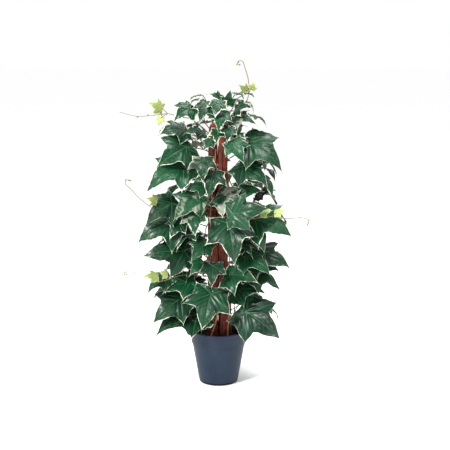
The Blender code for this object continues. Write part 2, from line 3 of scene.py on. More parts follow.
import bpy
import numpy as np
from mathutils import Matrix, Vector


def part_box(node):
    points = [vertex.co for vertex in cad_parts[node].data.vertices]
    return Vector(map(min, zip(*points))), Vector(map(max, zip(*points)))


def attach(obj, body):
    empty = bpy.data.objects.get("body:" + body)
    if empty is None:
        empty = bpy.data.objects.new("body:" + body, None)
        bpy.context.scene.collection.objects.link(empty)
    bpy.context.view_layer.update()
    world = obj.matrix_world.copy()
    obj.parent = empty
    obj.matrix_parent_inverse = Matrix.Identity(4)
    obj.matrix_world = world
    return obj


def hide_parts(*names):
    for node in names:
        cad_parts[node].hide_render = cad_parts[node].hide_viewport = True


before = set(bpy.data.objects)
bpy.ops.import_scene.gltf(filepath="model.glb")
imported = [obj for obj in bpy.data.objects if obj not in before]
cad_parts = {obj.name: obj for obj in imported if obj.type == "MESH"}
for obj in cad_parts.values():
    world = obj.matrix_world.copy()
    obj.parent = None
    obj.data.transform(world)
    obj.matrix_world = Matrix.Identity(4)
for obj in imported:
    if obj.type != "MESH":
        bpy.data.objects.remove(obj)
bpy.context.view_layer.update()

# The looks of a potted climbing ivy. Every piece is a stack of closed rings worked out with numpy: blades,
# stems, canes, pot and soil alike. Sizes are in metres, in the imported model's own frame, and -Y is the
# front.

MM = 0.001
GAP = 0.4 * MM
FRONT = np.array([0.0, -1.0, 0.0])
UP = np.array([0.0, 0.0, 1.0])

# What the visible pieces add to the solids.
SWELL = 0.07  # how far a lobe's sides swell, as a share of their length
POINTING = 0.07  # how far they draw in beside its tip
LOBE_DROOP = 0.42  # how far the ends of a blade's lobes hang
POT_FOOT = 49.5 * MM
POT_WALL = 2.4 * MM
COLLAR_HEIGHT = 34 * MM
COLLAR_STEP = 2.4 * MM
BUNDLE_EDGE = 38 * MM  # how far the soil's crown reaches in to the bundle
CRUMBS = 170
RING_PITCH = 1250.0  # radians of the pot's faint moulding rings in a metre of height
FLOOR = 60.0  # half the floor's side

# ------------------------------------------------------------------ the plan that the plant's solids follow

# The bundle's canes: (x and y of the foot, radius, height of the top), all in mm.
CANES = (
    (-14.6, -13.5, 14.2, 366),
    (13.4, -14.5, 13.0, 642),
    (28.6, -3.0, 5.5, 300),
    (11.5, 13.5, 13.8, 618),
    (-16.0, 15.0, 13.4, 664),
)
CANE_TAPER = 0.13

# Climbing vines: (start angle in degrees, turns, height of the top in mm).
VINES = ((-118, 0.45, 520), (-58, 0.4, 560), (70, 0.5, 600))
VINE_RADIUS = 1.6 * MM
VINE_STEP = 22 * MM
VINE_SPREAD = 9 * MM  # how far a vine stands off at the soil
SOIL_TOP = 119 * MM
SOIL_CROWN = 5 * MM

STEM_RADIUS = 1.2 * MM
STEM_STEPS = 3
STEM_CLEARANCE = 0.4 * MM
CURL_STEP = 4.5 * MM
CURL_SHRINK = 0.9
HIGHEST_ROOT = 640 * MM

# One half of the margin of a leaf that is one unit long from its stalk to its tip, as (degrees from the
# midrib, radius): lobe tips and the hollows between them in turn. The other half mirrors it.
MARGIN_KEYS = ((0, 1.0), (31, 0.42), (54, 0.69), (88, 0.35), (120, 0.46), (180, 0.15))
LOBES = MARGIN_KEYS[0::2]

# Leaves that are listed one by one: the points where the stalk meets the blade and where the middle
# lobe ends, in mm, and how far the face turns from the sky to the front, in degrees.
FRONT_SPRAYS = {
    "low_right": (((70, -70, 200), (162, -95, 132), 65), ((45, -30, 244), (128, -60, 241), 45)),
    "low_middle": (((-18, -85, 249), (-43, -120, 157), 65), ((-54, -40, 184), (-170, -90, 138), 35)),
    "low_left": (((-79, -50, 233), (-155, -80, 166), 60), ((-71, -60, 273), (-142, -90, 242), 55)),
    "outer_left": (((-130, -60, 286), (-182, -75, 244), 50), ((-100, -75, 324), (-134, -90, 308), 60)),
    "notched_middle": (((-13, -95, 322), (-16, -125, 270), 70), ((-41, -80, 326), (-72, -100, 296), 60)),
    "low_right_back": (((28, -80, 296), (106, -110, 280), 50), ((79, -20, 308), (161, -40, 292), 30)),
    "long_left": (((-80, -60, 352), (-192, -95, 334), 45), ((-71, -20, 377), (-130, -50, 360), 35)),
    "middle_left": (((-33, -85, 377), (-69, -115, 332), 65), ((-94, -80, 428), (-120, -105, 385), 60)),
    "long_right": (((85, -20, 345), (190, -50, 299), 45), ((54, -40, 361), (107, -70, 357), 35)),
    "right_shade": (((66, -60, 337), (133, -100, 293), 50), ((68, -30, 420), (125, -60, 342), 40)),
    "broad_middle": (((26, -90, 425), (42, -125, 322), 70), ((9, -78, 491), (76, -98, 454), 55)),
    "reaching_right": (((82, -60, 432), (178, -100, 395), 45), ((33, -112, 455), (122, -134, 470), 55)),
    "reaching_left": (((-107, -60, 427), (-205, -95, 394), 40), ((-114, -70, 473), (-183, -95, 421), 55)),
    "broad_left": (((-54, -95, 492), (-111, -125, 436), 60), ((-59, -105, 452), (-54, -130, 396), 65)),
    "upper_middle": (((-13, -90, 547), (-25, -125, 486), 65), ((-37, -85, 580), (-37, -115, 516), 60)),
    "upper_left": (((-84, -70, 562), (-181, -110, 501), 55), ((-33, -90, 518), (-85, -100, 505), 50)),
    "curled_right": (((60, -60, 563), (126, -100, 509), 50), ((98, -20, 486), (152, -40, 496), 30)),
    "shaded_right": (((28, -46, 484), (105, -72, 513), 50), ((68, -20, 536), (31, -35, 518), 20)),
    "arched_right": (((74, -50, 618), (163, -86, 545), 50), ((38, -40, 676), (98, -70, 663), 45)),
    "high_middle": (((32, -80, 621), (59, -105, 572), 65), ((-1, -70, 649), (-6, -85, 614), 60)),
    "high_left": (((-79, -60, 609), (-160, -95, 560), 60), ((-85, -30, 648), (-152, -60, 619), 30)),
    "high_inner": (((-38, -50, 643), (-88, -60, 641), 30), ((-18, -80, 626), (-37, -92, 600), 60)),
    "crown_left": (((-69, -40, 703), (-113, -65, 669), 55), ((-79, -50, 679), (-45, -75, 643), 55)),
    "crown_front": (((-28, -60, 713), (-48, -85, 662), 60), ((8, -65, 692), (-1, -90, 642), 60)),
    "crown_middle": (((1, -60, 718), (-8, -85, 678), 60), ((23, -65, 656), (17, -84, 614), 60)),
    "crown_right": (((45, -40, 700), (89, -65, 705), 55), ((52, -40, 712), (46, -53, 747), 80)),
    "crown_top": (((9, -20, 719), (-36, -33, 735), 30), ((18, -30, 714), (24, -39, 753), 80)),
}

# Sprays on the far side follow a rule: heights in even steps, turning by the golden share of the far arc.
REAR_COUNT = 17
REAR_HEIGHTS = (205, 700)  # mm, of the lowest and highest middle leaf
REAR_ARC = 208  # degrees, centred on +Y
GOLDEN_SHARE = 0.618
REAR_TRIO = ((-27, -34, 0.9), (0, 0, 1.0), (29, -18, 0.75))  # each leaf's turn, rise in mm, and size
LEAF_LENGTHS = ((150, 118), (450, 108), (620, 78), (760, 40))  # (height, blade length) in mm
LEAF_REACH = ((150, 180), (450, 188), (620, 150), (760, 62))  # (height, radius of the tip) in mm
REAR_LEAN = 48
DROOP = (22, 52)  # degrees below the level, the least and the most
INNER_TURN = (34, 78)  # degrees from the front, of a front spray's inner leaf
INNER_SIZE = 0.62  # of the length of a leaf at that height
INNER_RISE = 20  # mm above the spray's first leaf
NEAREST_BLADE = 56 * MM

# How a leaf may give way to its neighbours: pushed outwards in mm, and lifted, swung and leaned in degrees.
PUSHES = (0, 6, 12, -6, 18, 26, 36)
LIFTS = (0, 6, -6, 12, -12, 20)
SWINGS = (0, 8, -8, 16, -16)
LEANS = (0, 12, -12)
POSTURE_MISS = 1.0 * MM  # a leaf whose margin is this far from its solid's corners isn't there

# How its stem may run. From the bundle: turned in degrees, dropped in mm, and bowed up in mm. From another
# stem: at which of its points, and bowed (up, aside) in mm.
ROOT_TURNS = (0, 20, -20, 40, -40, 60, -60, 80, -80)
ROOT_DROPS = (20, 36, 6, 52, 68)
ROOT_RISES = (8, 20, -4)
SIDE_JOINTS = (1, 2, 0)
SIDE_BOWS = ((8, 0), (0, 0), (18, 0), (-8, 0), (8, 14), (8, -14), (30, 0), (0, 28), (0, -28))

# Young shoots, all in mm: the runner's points, its curl as (turns, radius at the start), and its small
# leaves.
SHOOTS = {
    "shoot_top_right": (
        ((53, -22, 692), (67, -22, 712), (75, -22, 738), (73, -22, 772), (66, -22, 796), (61, -22, 812)),
        (0.8, 9),
        (((68, -26, 744), (46, -34, 760), 80), ((82, -26, 748), (90, -36, 768), 75)),
    ),
    "shoot_top_left": (
        ((-92, -30, 680), (-123, -32, 688), (-160, -32, 684), (-200, -30, 682), (-241, -30, 692)),
        (0.0, 1),
        (((-140, -36, 702), (-174, -42, 716), 70), ((-140, -38, 678), (-146, -46, 656), 75)),
    ),
    "shoot_middle_left": (
        ((-144, -64, 455), (-168, -64, 468), (-192, -62, 487), (-212, -60, 508), (-224, -60, 519)),
        (-0.6, 9),
        (((-152, -74, 482), (-178, -82, 490), 70),),
    ),
    "shoot_middle_right": (
        ((80, -92, 438), (104, -98, 442), (129, -102, 445), (165, -102, 440), (198, -100, 442),
         (214, -100, 439)),
        (-0.5, 9),
        (((106, -110, 455), (134, -116, 462), 55), ((140, -108, 455), (168, -112, 459), 45)),
    ),
    "shoot_low_left": (
        ((-138, -88, 284), (-160, -88, 287), (-186, -84, 298), (-212, -82, 307), (-226, -82, 308)),
        (0.6, 6),
        (((-152, -96, 298), (-186, -100, 296), 50), ((-126, -94, 302), (-148, -104, 312), 60)),
    ),
}
SHOOT_SHIFTS = (
    (0, 0), (8, 0), (-8, 0), (16, 0), (8, 8), (24, 0), (-16, 0), (16, 8), (32, 0), (24, 12), (40, 6),
)

# ------------------------------------------------------------------ fineness of the finished surfaces

OUTLINE_STEPS = 7  # points from a lobe's tip to the hollow beside it
BLADE_RINGS = 10
BLADE_HALF = 0.35 * MM
TUBE_SIDES = 8
CANE_SIDES = 96
CANE_RINGS = 110


# ------------------------------------------------------------------ closed surfaces from rings


def ring_body(rings, start, end, values=None, material=0):
    """A closed surface: rings is an array (count, around, 3) of closed rings in order, and the poles start
    and end shut it. values holds attributes as arrays (count, around, width), and a pole takes its ring's
    mean."""
    count, around, _ = rings.shape
    points = np.concatenate([[start], rings.reshape(-1, 3), [end]])
    at = 1 + np.arange(count * around).reshape(count, around)
    after = np.roll(at, -1, axis=1)
    quads = np.stack([at[:-1], after[:-1], after[1:], at[1:]], axis=-1).reshape(-1, 4)
    first = np.stack([np.zeros(around, int), after[0], at[0]], axis=-1)
    last = np.stack([np.full(around, len(points) - 1), at[-1], after[-1]], axis=-1)
    tris = np.concatenate([first, last])
    corners = points[np.concatenate([quads[:, :3], quads[:, [0, 2, 3]], tris])]
    if np.einsum("ij,ij->", corners[:, 0], np.cross(corners[:, 1], corners[:, 2])) < 0:
        quads, tris = quads[:, ::-1], tris[:, ::-1]
    kept = {}
    for name, value in (values or {}).items():
        flat = value.reshape(count * around, -1)
        poles = value[0].reshape(around, -1).mean(axis=0), value[-1].reshape(around, -1).mean(axis=0)
        kept[name] = np.concatenate([[poles[0]], flat, [poles[1]]])
    return {"points": points, "quads": quads, "tris": tris, "values": kept, "material": material}


def make_piece(name, bodies, materials, sharp=None):
    """One mesh object at the origin from several closed bodies, with their attributes side by side."""
    offsets = np.cumsum([0] + [len(body["points"]) for body in bodies])
    points = np.concatenate([body["points"] for body in bodies])
    loops, totals, slots = [], [], []
    for body, offset in zip(bodies, offsets):
        for faces in (body["quads"], body["tris"]):
            loops.append((faces + offset).ravel())
            totals.append(np.full(len(faces), faces.shape[1]))
            slots.append(np.full(len(faces), body["material"]))
    loops, totals, slots = np.concatenate(loops), np.concatenate(totals), np.concatenate(slots)
    mesh = bpy.data.meshes.new(name)
    mesh.vertices.add(len(points))
    mesh.vertices.foreach_set("co", points.astype(np.float32).ravel())
    mesh.loops.add(len(loops))
    mesh.loops.foreach_set("vertex_index", loops.astype(np.int32))
    mesh.polygons.add(len(totals))
    mesh.polygons.foreach_set("loop_start", np.concatenate([[0], np.cumsum(totals)[:-1]]).astype(np.int32))
    mesh.polygons.foreach_set("material_index", slots.astype(np.int32))
    mesh.update(calc_edges=True)
    for key in sorted({key for body in bodies for key in body["values"]}):
        width = next(body["values"][key].shape[1] for body in bodies if key in body["values"])
        rows = [body["values"].get(key, np.zeros((len(body["points"]), width))) for body in bodies]
        attribute = mesh.attributes.new(key, "FLOAT_VECTOR" if width == 3 else "FLOAT", "POINT")
        field = "vector" if width == 3 else "value"
        attribute.data.foreach_set(field, np.concatenate(rows).astype(np.float32).ravel())
    mesh.shade_smooth()
    if sharp:
        mesh.set_sharp_from_angle(angle=math.radians(sharp))
    for material in materials:
        mesh.materials.append(material)
    piece = bpy.data.objects.new(name, mesh)
    bpy.context.scene.collection.objects.link(piece)
    return piece


def smooth_path(points, steps):
    """A Catmull-Rom curve through the points, each span cut into that many steps."""
    points = np.asarray(points, float)
    padded = np.concatenate([[2 * points[0] - points[1]], points, [2 * points[-1] - points[-2]]])
    t = np.linspace(0, 1, steps, endpoint=False)[None, :, None]
    a, b, c, d = (padded[i : len(padded) - 3 + i, None, :] for i in range(4))
    spans = 0.5 * (2 * b + (c - a) * t + (2 * a - 5 * b + 4 * c - d) * t**2 + (3 * b - a - 3 * c + d) * t**3)
    return np.concatenate([spans.reshape(-1, 3), points[-1:]])


def tube_frame(path):
    """Unit vectors across a path: the world axis that the path runs along least, made square to it, and
    their cross product."""
    tangent = np.gradient(path, axis=0)
    tangent /= np.linalg.norm(tangent, axis=1, keepdims=True)
    axis = np.eye(3)[np.argmin(np.abs(tangent).max(axis=0))]
    side = np.cross(tangent, axis)
    side /= np.linalg.norm(side, axis=1, keepdims=True)
    return tangent, side, np.cross(side, tangent)


def tube(path, radius, values=None, material=0, sides=TUBE_SIDES):
    """A circle of that radius, one for each point of the path or one for all, carried along it, with domed
    ends."""
    radius = np.broadcast_to(radius, len(path))
    tangent, side, lift = tube_frame(path)
    angle = np.linspace(0, math.tau, sides, endpoint=False)
    circle = np.cos(angle)[None, :, None] * side[:, None] + np.sin(angle)[None, :, None] * lift[:, None]
    rings = path[:, None] + circle * radius[:, None, None]
    ends = path[0] - tangent[0] * 0.6 * radius[0], path[-1] + tangent[-1] * 0.6 * radius[-1]
    made = {}
    for name, value in (values or {}).items():
        rows = np.asarray(value, float).reshape(-1, np.shape(value)[-1] if np.ndim(value) > 1 else 1)
        made[name] = np.repeat(np.broadcast_to(rows, (len(path), rows.shape[1]))[:, None], sides, axis=1)
    return ring_body(rings, *ends, made, material)


# ------------------------------------------------------------------ where every leaf and stem stands


def leaf_traits(seed):
    """The small differences between one leaf and the next, drawn from its own seed."""
    draw = np.random.default_rng(seed)
    return {
        "width": draw.uniform(0.92, 1.12),
        "arch": draw.uniform(0.10, 0.22),
        "fold": draw.uniform(0.05, 0.22),
        "curl": draw.uniform(0.30, 0.75),
        "twist": draw.uniform(-0.22, 0.22),
        "phase": draw.uniform(0.0, math.tau),
    }


def make_leaf(seed, base, tip, lean, facing):
    """A leaf's record: its stalk's end and its tip in metres, its lean in degrees, and the way that it
    faces."""
    return {
        "base": np.asarray(base, float),
        "tip": np.asarray(tip, float),
        "lean": lean,
        "facing": np.asarray(facing, float),
        "traits": leaf_traits(seed),
        "seed": seed,
    }


def inner_leaf(number, first):
    """A small leaf beside the bundle, a little above the spray's first one and on the same side of the
    front."""
    seed = 10 * number + 5
    draw = np.random.default_rng(seed)
    angle = math.radians(-90 + math.copysign(draw.uniform(*INNER_TURN), first[0]))
    droop = math.radians(draw.uniform(*DROOP))
    length = np.interp(first[2], *zip(*LEAF_LENGTHS)) * MM * INNER_SIZE
    outward = np.array([math.cos(angle), math.sin(angle), 0.0])
    base = outward * NEAREST_BLADE + UP * (first[2] + INNER_RISE) * MM
    tip = base + (outward * math.cos(droop) - UP * math.sin(droop)) * length
    return make_leaf(seed, base, tip, REAR_LEAN, outward)


def front_sprays():
    """The sprays that are listed one by one, their faces turned to the front, each with a small inner leaf.
    """
    sprays = {}
    for number, (name, rows) in enumerate(FRONT_SPRAYS.items()):
        leaves = [
            make_leaf(10 * number + k, np.array(base) * MM, np.array(tip) * MM, lean, FRONT)
            for k, (base, tip, lean) in enumerate(rows)
        ]
        sprays[f"spray_{name}"] = [*leaves, inner_leaf(number, rows[0][0])]
    return sprays


def rear_sprays():
    """The sprays of the far side: three leaves each, at even steps of height, every tip drooping
    outwards."""
    sprays = {}
    for number in range(REAR_COUNT):
        share = number / (REAR_COUNT - 1)
        middle = REAR_HEIGHTS[0] + (REAR_HEIGHTS[1] - REAR_HEIGHTS[0]) * share
        turn = 90 + REAR_ARC * ((number * GOLDEN_SHARE + 0.25) % 1 - 0.5)
        leaves = []
        for k, (aside, rise, size) in enumerate(REAR_TRIO):
            seed = 1000 + 10 * number + k
            draw = np.random.default_rng(seed)
            angle = math.radians(turn + aside + draw.uniform(-6, 6))
            height = middle + rise
            length = np.interp(height, *zip(*LEAF_LENGTHS)) * MM * size
            droop = math.radians(draw.uniform(*DROOP))
            reach = np.interp(height, *zip(*LEAF_REACH)) * MM * draw.uniform(0.86, 1.0)
            near = max(reach - length * math.cos(droop), NEAREST_BLADE)
            outward = np.array([math.cos(angle), math.sin(angle), 0.0])
            base = outward * near + UP * (height * MM + 0.5 * length * math.sin(droop))
            tip = base + (outward * math.cos(droop) - UP * math.sin(droop)) * length
            leaves.append(make_leaf(seed, base, tip, REAR_LEAN, outward))
        sprays[f"spray_rear_{number + 1:02d}"] = leaves
    return sprays


def postures():
    """Ways a leaf can give way to its neighbours: (push outwards in mm, and lift, swing and lean in
    degrees)."""
    return [
        (push, lift, swing, lean)
        for push in PUSHES
        for lift in LIFTS
        for swing in SWINGS
        for lean in LEANS
    ]


def outward_of(point):
    """The level direction from the bundle's axis to a point."""
    level = np.array([point[0], point[1], 0.0])
    return level / np.linalg.norm(level)


def moved_leaf(leaf, posture):
    """The leaf in one of those postures."""
    push, lift, swing, lean = posture
    chord = leaf["tip"] - leaf["base"]
    c, s = math.cos(math.radians(swing)), math.sin(math.radians(swing))
    chord = np.array([c * chord[0] - s * chord[1], s * chord[0] + c * chord[1], chord[2]])
    chord[2] += np.linalg.norm(chord) * math.sin(math.radians(lift))
    base = leaf["base"] + outward_of(leaf["base"]) * push * MM
    return {**leaf, "base": base, "tip": base + chord, "lean": leaf["lean"] + lean}


def leaf_axes(leaf):
    """The blade's own axes as rows (along the midrib, to its left, out of its face), and its length."""
    chord = leaf["tip"] - leaf["base"]
    length = np.linalg.norm(chord)
    along = chord / length
    lean = math.radians(leaf["lean"])
    face = leaf["facing"] * math.sin(lean) + UP * math.cos(lean)
    face = face - along * (face @ along)
    face /= np.linalg.norm(face)
    return np.array([along, np.cross(face, along), face]), length


def blade_height(x, y, ring, angle, traits):
    """How high the unit blade stands over its chord: an arch along the midrib, a fold beside it, side lobes
    that curl down, a twist, and a wavy margin."""
    along = np.where(x < 0, x / (1 - 1.5 * np.minimum(x, 0)), x)
    arch = 4 * traits["arch"] * along * (1 - along) * (0.7 + 0.6 * along)
    fold = traits["fold"] * (np.sqrt(y**2 + 0.0009) - 0.03)
    curl = -traits["curl"] * y**2
    twist = traits["twist"] * along * y
    wave = 0.04 * ring**3 * np.sin(7 * angle + traits["phase"])
    return arch + fold + curl + twist + wave


def key_points():
    """The blade's outline at its lobe tips and hollows: (degrees, radius) all the way round."""
    return np.array([*MARGIN_KEYS, *((360 - turn, radius) for turn, radius in MARGIN_KEYS[-2:0:-1])])


def key_margin(leaf):
    """Where the margin's key points stand in space."""
    degrees, radius = key_points().T
    angle = np.radians(np.where(degrees > 180, degrees - 360, degrees))
    x = radius * np.cos(angle)
    y = radius * np.sin(angle) * leaf["traits"]["width"]
    axes, length = leaf_axes(leaf)
    height = blade_height(x, y, 1.0, angle, leaf["traits"])
    return leaf["base"] + length * np.stack([x, y, height], axis=-1) @ axes


def node_points(name):
    """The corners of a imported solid."""
    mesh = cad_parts[name].data
    points = np.empty(3 * len(mesh.vertices), np.float32)
    mesh.vertices.foreach_get("co", points)
    return np.unique(points.reshape(-1, 3).round(6), axis=0)


def miss(points, corners):
    """How far each point is from the nearest corner, on average."""
    return np.linalg.norm(points[:, None] - corners[None], axis=-1).min(axis=1).mean()


def settled_leaf(leaf, corners):
    """The leaf in the posture in which its solid stands, or None if the solid has no such leaf."""
    tried = [moved_leaf(leaf, posture) for posture in postures()]
    misses = [miss(key_margin(other), corners) for other in tried]
    best = int(np.argmin(misses))
    return tried[best] if misses[best] < POSTURE_MISS else None


def bundle_reach(angle, height, offset):
    """How far a string drawn tight round the bundle, that offset from it, is from the axis at an angle: the
    least of its straight supports on either side."""
    canes = np.array([(x, y, r) for x, y, r, top in CANES if top * MM > height - 2 * VINE_STEP]) * MM
    turns = np.radians(np.arange(-75, 76, 5))
    support = canes[:, 0, None] * np.cos(angle + turns) + canes[:, 1, None] * np.sin(angle + turns)
    return ((support + canes[:, 2, None] + offset).max(axis=0) / np.cos(turns)).min()


def bowed(start, end, bow, steps=STEM_STEPS):
    """A parabola from start to end, its middle pulled by half of the bow."""
    t = np.linspace(0, 1, steps + 1)[:, None]
    return start * (1 - t) ** 2 + ((start + end) / 2 + bow) * 2 * t * (1 - t) + end * t**2


def root_stems(end):
    """Routes for a stem from the bundle's side to a point, as (start, end, bow)."""
    towards = math.atan2(end[1], end[0])
    for turn in ROOT_TURNS:
        for drop in ROOT_DROPS:
            height = min(end[2] - drop * MM, HIGHEST_ROOT)
            angle = towards + math.radians(turn)
            reach = bundle_reach(angle, height, STEM_RADIUS + GAP + STEM_CLEARANCE)
            root = np.array([reach * math.cos(angle), reach * math.sin(angle), height])
            for rise in ROOT_RISES:
                yield root, end, UP * rise * MM


def side_stems(stem, end):
    """Routes for a stalk from a spray's first stem to a point, as (start, end, bow)."""
    outward = outward_of(end)
    across = np.array([-outward[1], outward[0], 0.0])
    for joint in SIDE_JOINTS:
        for rise, aside in SIDE_BOWS:
            yield bowed(*stem)[joint], end, (UP * rise + across * aside) * MM


def settled_stem(routes, corners):
    """The route that the solid's stem follows: the one whose points have corners one radius away."""
    best, least = None, math.inf
    for route in routes:
        gaps = np.linalg.norm(bowed(*route)[1:-1, None] - corners[None], axis=-1)
        amiss = np.abs(np.sort(gaps, axis=1)[:, :4] - STEM_RADIUS).mean()
        if amiss < least:
            best, least = route, amiss
    return best


# ------------------------------------------------------------------ blades


def blade_outline():
    """The unit blade's margin as (x, y) points, from the middle lobe's tip all the way round. Between a tip
    and a hollow it is their chord, swollen by a skewed sine, and the hollows are rounded by a running
    mean."""
    degrees, radius = key_points().T
    keys = np.stack([radius * np.cos(np.radians(degrees)), radius * np.sin(np.radians(degrees))], axis=-1)
    spans = []
    for i, (start, end) in enumerate(zip(keys, np.roll(keys, -1, axis=0))):
        to_hollow = i % 2 == 0
        s = np.linspace(0, 1, OUTLINE_STEPS, endpoint=False)
        chord = end - start
        normal = np.array([chord[1], -chord[0]])
        from_tip = s if to_hollow else 1 - s
        swell = SWELL * np.sin(math.pi * from_tip**1.3) - POINTING * np.sin(math.pi * from_tip**0.5) ** 2
        spans.append(start + s[:, None] * chord + swell[:, None] * normal)
    points = np.concatenate(spans)
    share = np.zeros(len(points))
    share[OUTLINE_STEPS :: 2 * OUTLINE_STEPS] = 1.0
    share = share + 0.5 * (np.roll(share, 1) + np.roll(share, -1))
    mean = (np.roll(points, 2, axis=0) + np.roll(points, 1, axis=0) + np.roll(points, -1, axis=0)
            + np.roll(points, -2, axis=0)) / 4
    return points + share[:, None] * (mean - points) * 0.8


def blade_grid():
    """The unit blade as rings that grow from the stalk to the margin: x, y, each ring's share of the
    radius, the angle, and the distance to the margin."""
    margin = blade_outline()
    ring = (np.arange(1, BLADE_RINGS + 1) / BLADE_RINGS)[:, None] ** 0.8
    x, y = ring * margin[:, 0], ring * margin[:, 1]
    fine = np.concatenate([margin + (np.roll(margin, -1, axis=0) - margin) * k / 4 for k in range(4)])
    edge = np.hypot(x[..., None] - fine[:, 0], y[..., None] - fine[:, 1]).min(axis=-1)
    return x, y, np.broadcast_to(ring, x.shape), np.arctan2(y, x), edge


BLADE = None


def rib_distance(x, y):
    """How far a point of the unit blade is from the nearest main rib."""
    best = np.full(np.shape(x), 9.0)
    for degrees, length in LOBES:
        c, s = math.cos(math.radians(degrees)), math.sin(math.radians(degrees))
        along = np.clip(x * c + np.abs(y) * s, 0, length)
        best = np.minimum(best, np.hypot(x - along * c, np.abs(y) - along * s))
    return best


def blade_body(leaf, material):
    """A leaf's blade: the unit grid raised by the blade's height, with grooves on the ribs and puckers
    between them, and given a lens's thickness that runs out at the margin."""
    x, y, ring, angle, edge = BLADE
    traits = leaf["traits"]
    axes, length = leaf_axes(leaf)
    y = y * traits["width"]
    z = blade_height(x, y, ring, angle, traits)
    ribs = rib_distance(x, y / traits["width"])
    z = z - 0.012 * np.exp(-((ribs / 0.02) ** 2)) * (1 - 0.6 * ring)
    puckers = np.sin(math.tau * (x - 1.1 * np.abs(y)) / 0.16 + traits["phase"])
    z = z + 0.015 * puckers * np.minimum(1, ribs / 0.1)
    z = z + 0.018 * ring**4 * np.sin(17 * angle + 2 * traits["phase"])
    z = z - LOBE_DROOP * np.maximum(0, np.hypot(x, y) - 0.45) ** 2
    half = BLADE_HALF / length * np.sqrt(1 - ring**2 * 0.9999)
    half = np.where(ring > 0.999, 0.0, half)
    upper = np.stack([x, y, z + half], axis=-1)
    lower = np.stack([x, y, z - half], axis=-1)
    shape = np.concatenate([upper, lower[-2::-1]])
    rings = leaf["base"] + length * shape @ axes
    middle = leaf["base"] + axes[2] * length * blade_height(0.0, 0.0, 0.0, 0.0, traits)
    blade = np.stack([x, y, edge * length / MM], axis=-1)
    around = x.shape[1]
    marks = np.array([leaf["seed"] * 0.377 % 10, leaf["margin"], leaf["patch"]])
    is_under = (np.arange(2 * BLADE_RINGS - 1) >= BLADE_RINGS) * 1.0
    values = {
        "blade": np.concatenate([blade, blade[-2::-1]]),
        "marks": np.broadcast_to(marks, (len(is_under), around, 3)),
        "under": np.broadcast_to(is_under[:, None, None], (len(is_under), around, 1)),
    }
    thick = axes[2] * BLADE_HALF
    return ring_body(rings, middle + thick, middle - thick, values, material)


def stem_bodies(routes, material, seed):
    """Stems along their parabolas, a little thicker at the foot, with a node's swelling here and there."""
    bodies = []
    for k, route in enumerate(routes):
        path = bowed(*route, steps=14)
        t = np.linspace(0, 1, len(path))
        knots = np.exp(-(((t * 3 + 0.37 * seed + k) % 1 - 0.5) / 0.09) ** 2)
        radius = STEM_RADIUS * (1.12 - 0.3 * t + 0.22 * knots)
        bodies.append(tube(path, radius, {"along": t[:, None]}, material))
    return bodies


def leaf_marks(leaf):
    """How a leaf is marked: the width of its cream margin in mm, and how much of it is a pale patch."""
    draw = np.random.default_rng(leaf["seed"] + 5000)
    leaf["margin"] = draw.uniform(0.3, 1.5)
    leaf["patch"] = max(0.0, draw.uniform(-1.3, 0.6))
    return leaf


def make_spray(name, leaves, materials):
    """A spray's leaves and stems, where its solid has them."""
    corners = node_points(name)
    placed = [leaf_marks(found) for found in (settled_leaf(leaf, corners) for leaf in leaves) if found]
    stems = []
    for leaf in placed:
        routes = side_stems(stems[0], leaf["base"]) if stems else root_stems(leaf["base"])
        stems.append(settled_stem(routes, corners))
    bodies = [blade_body(leaf, 0) for leaf in placed]
    bodies += stem_bodies(stems, 1, placed[0]["seed"])
    piece = make_piece(f"{name}_foliage", bodies, materials, sharp=50)
    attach(piece, "root")
    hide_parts(name)
    return piece


# ------------------------------------------------------------------ shoots, buds and tendrils


def curl_points(points, turns, radius):
    """The tendril at a runner's end: a circle in the upright plane whose steps shrink evenly."""
    heading = points[-1] - points[-2]
    count = round(abs(turns) * math.tau * radius * MM / CURL_STEP)
    turn = math.copysign(CURL_STEP / (radius * MM), turns) * np.arange(1, count + 1)
    angle = math.atan2(heading[2], heading[0]) + turn
    step = CURL_STEP * CURL_SHRINK ** np.arange(count)
    steps = np.stack([step * np.cos(angle), 0 * angle, step * np.sin(angle)], axis=-1)
    return points[-1] + np.cumsum(steps, axis=0)


def bud_body(at, towards, length, material):
    """A bud: a spindle whose radius is a sine of its length, pointing along towards."""
    t = np.linspace(0.04, 0.96, 7)
    towards = towards / np.linalg.norm(towards)
    path = at + (t * length)[:, None] * towards
    radius = 0.24 * length * np.sin(math.pi * t**0.8)
    return tube(path, radius, {"along": t[:, None]}, material)


def settled_shift(runner, corners):
    """The shift with which the solid's runner stands: the one whose points have corners nearest."""
    shifts = [np.array([0.0, -nearer, rise]) * MM for nearer, rise in SHOOT_SHIFTS]

    def far(shift):
        gaps = np.linalg.norm((runner[1:-1] + shift)[:, None] - corners[None], axis=-1)
        return np.sort(gaps, axis=1)[:, :3].mean()

    return min(shifts, key=far)


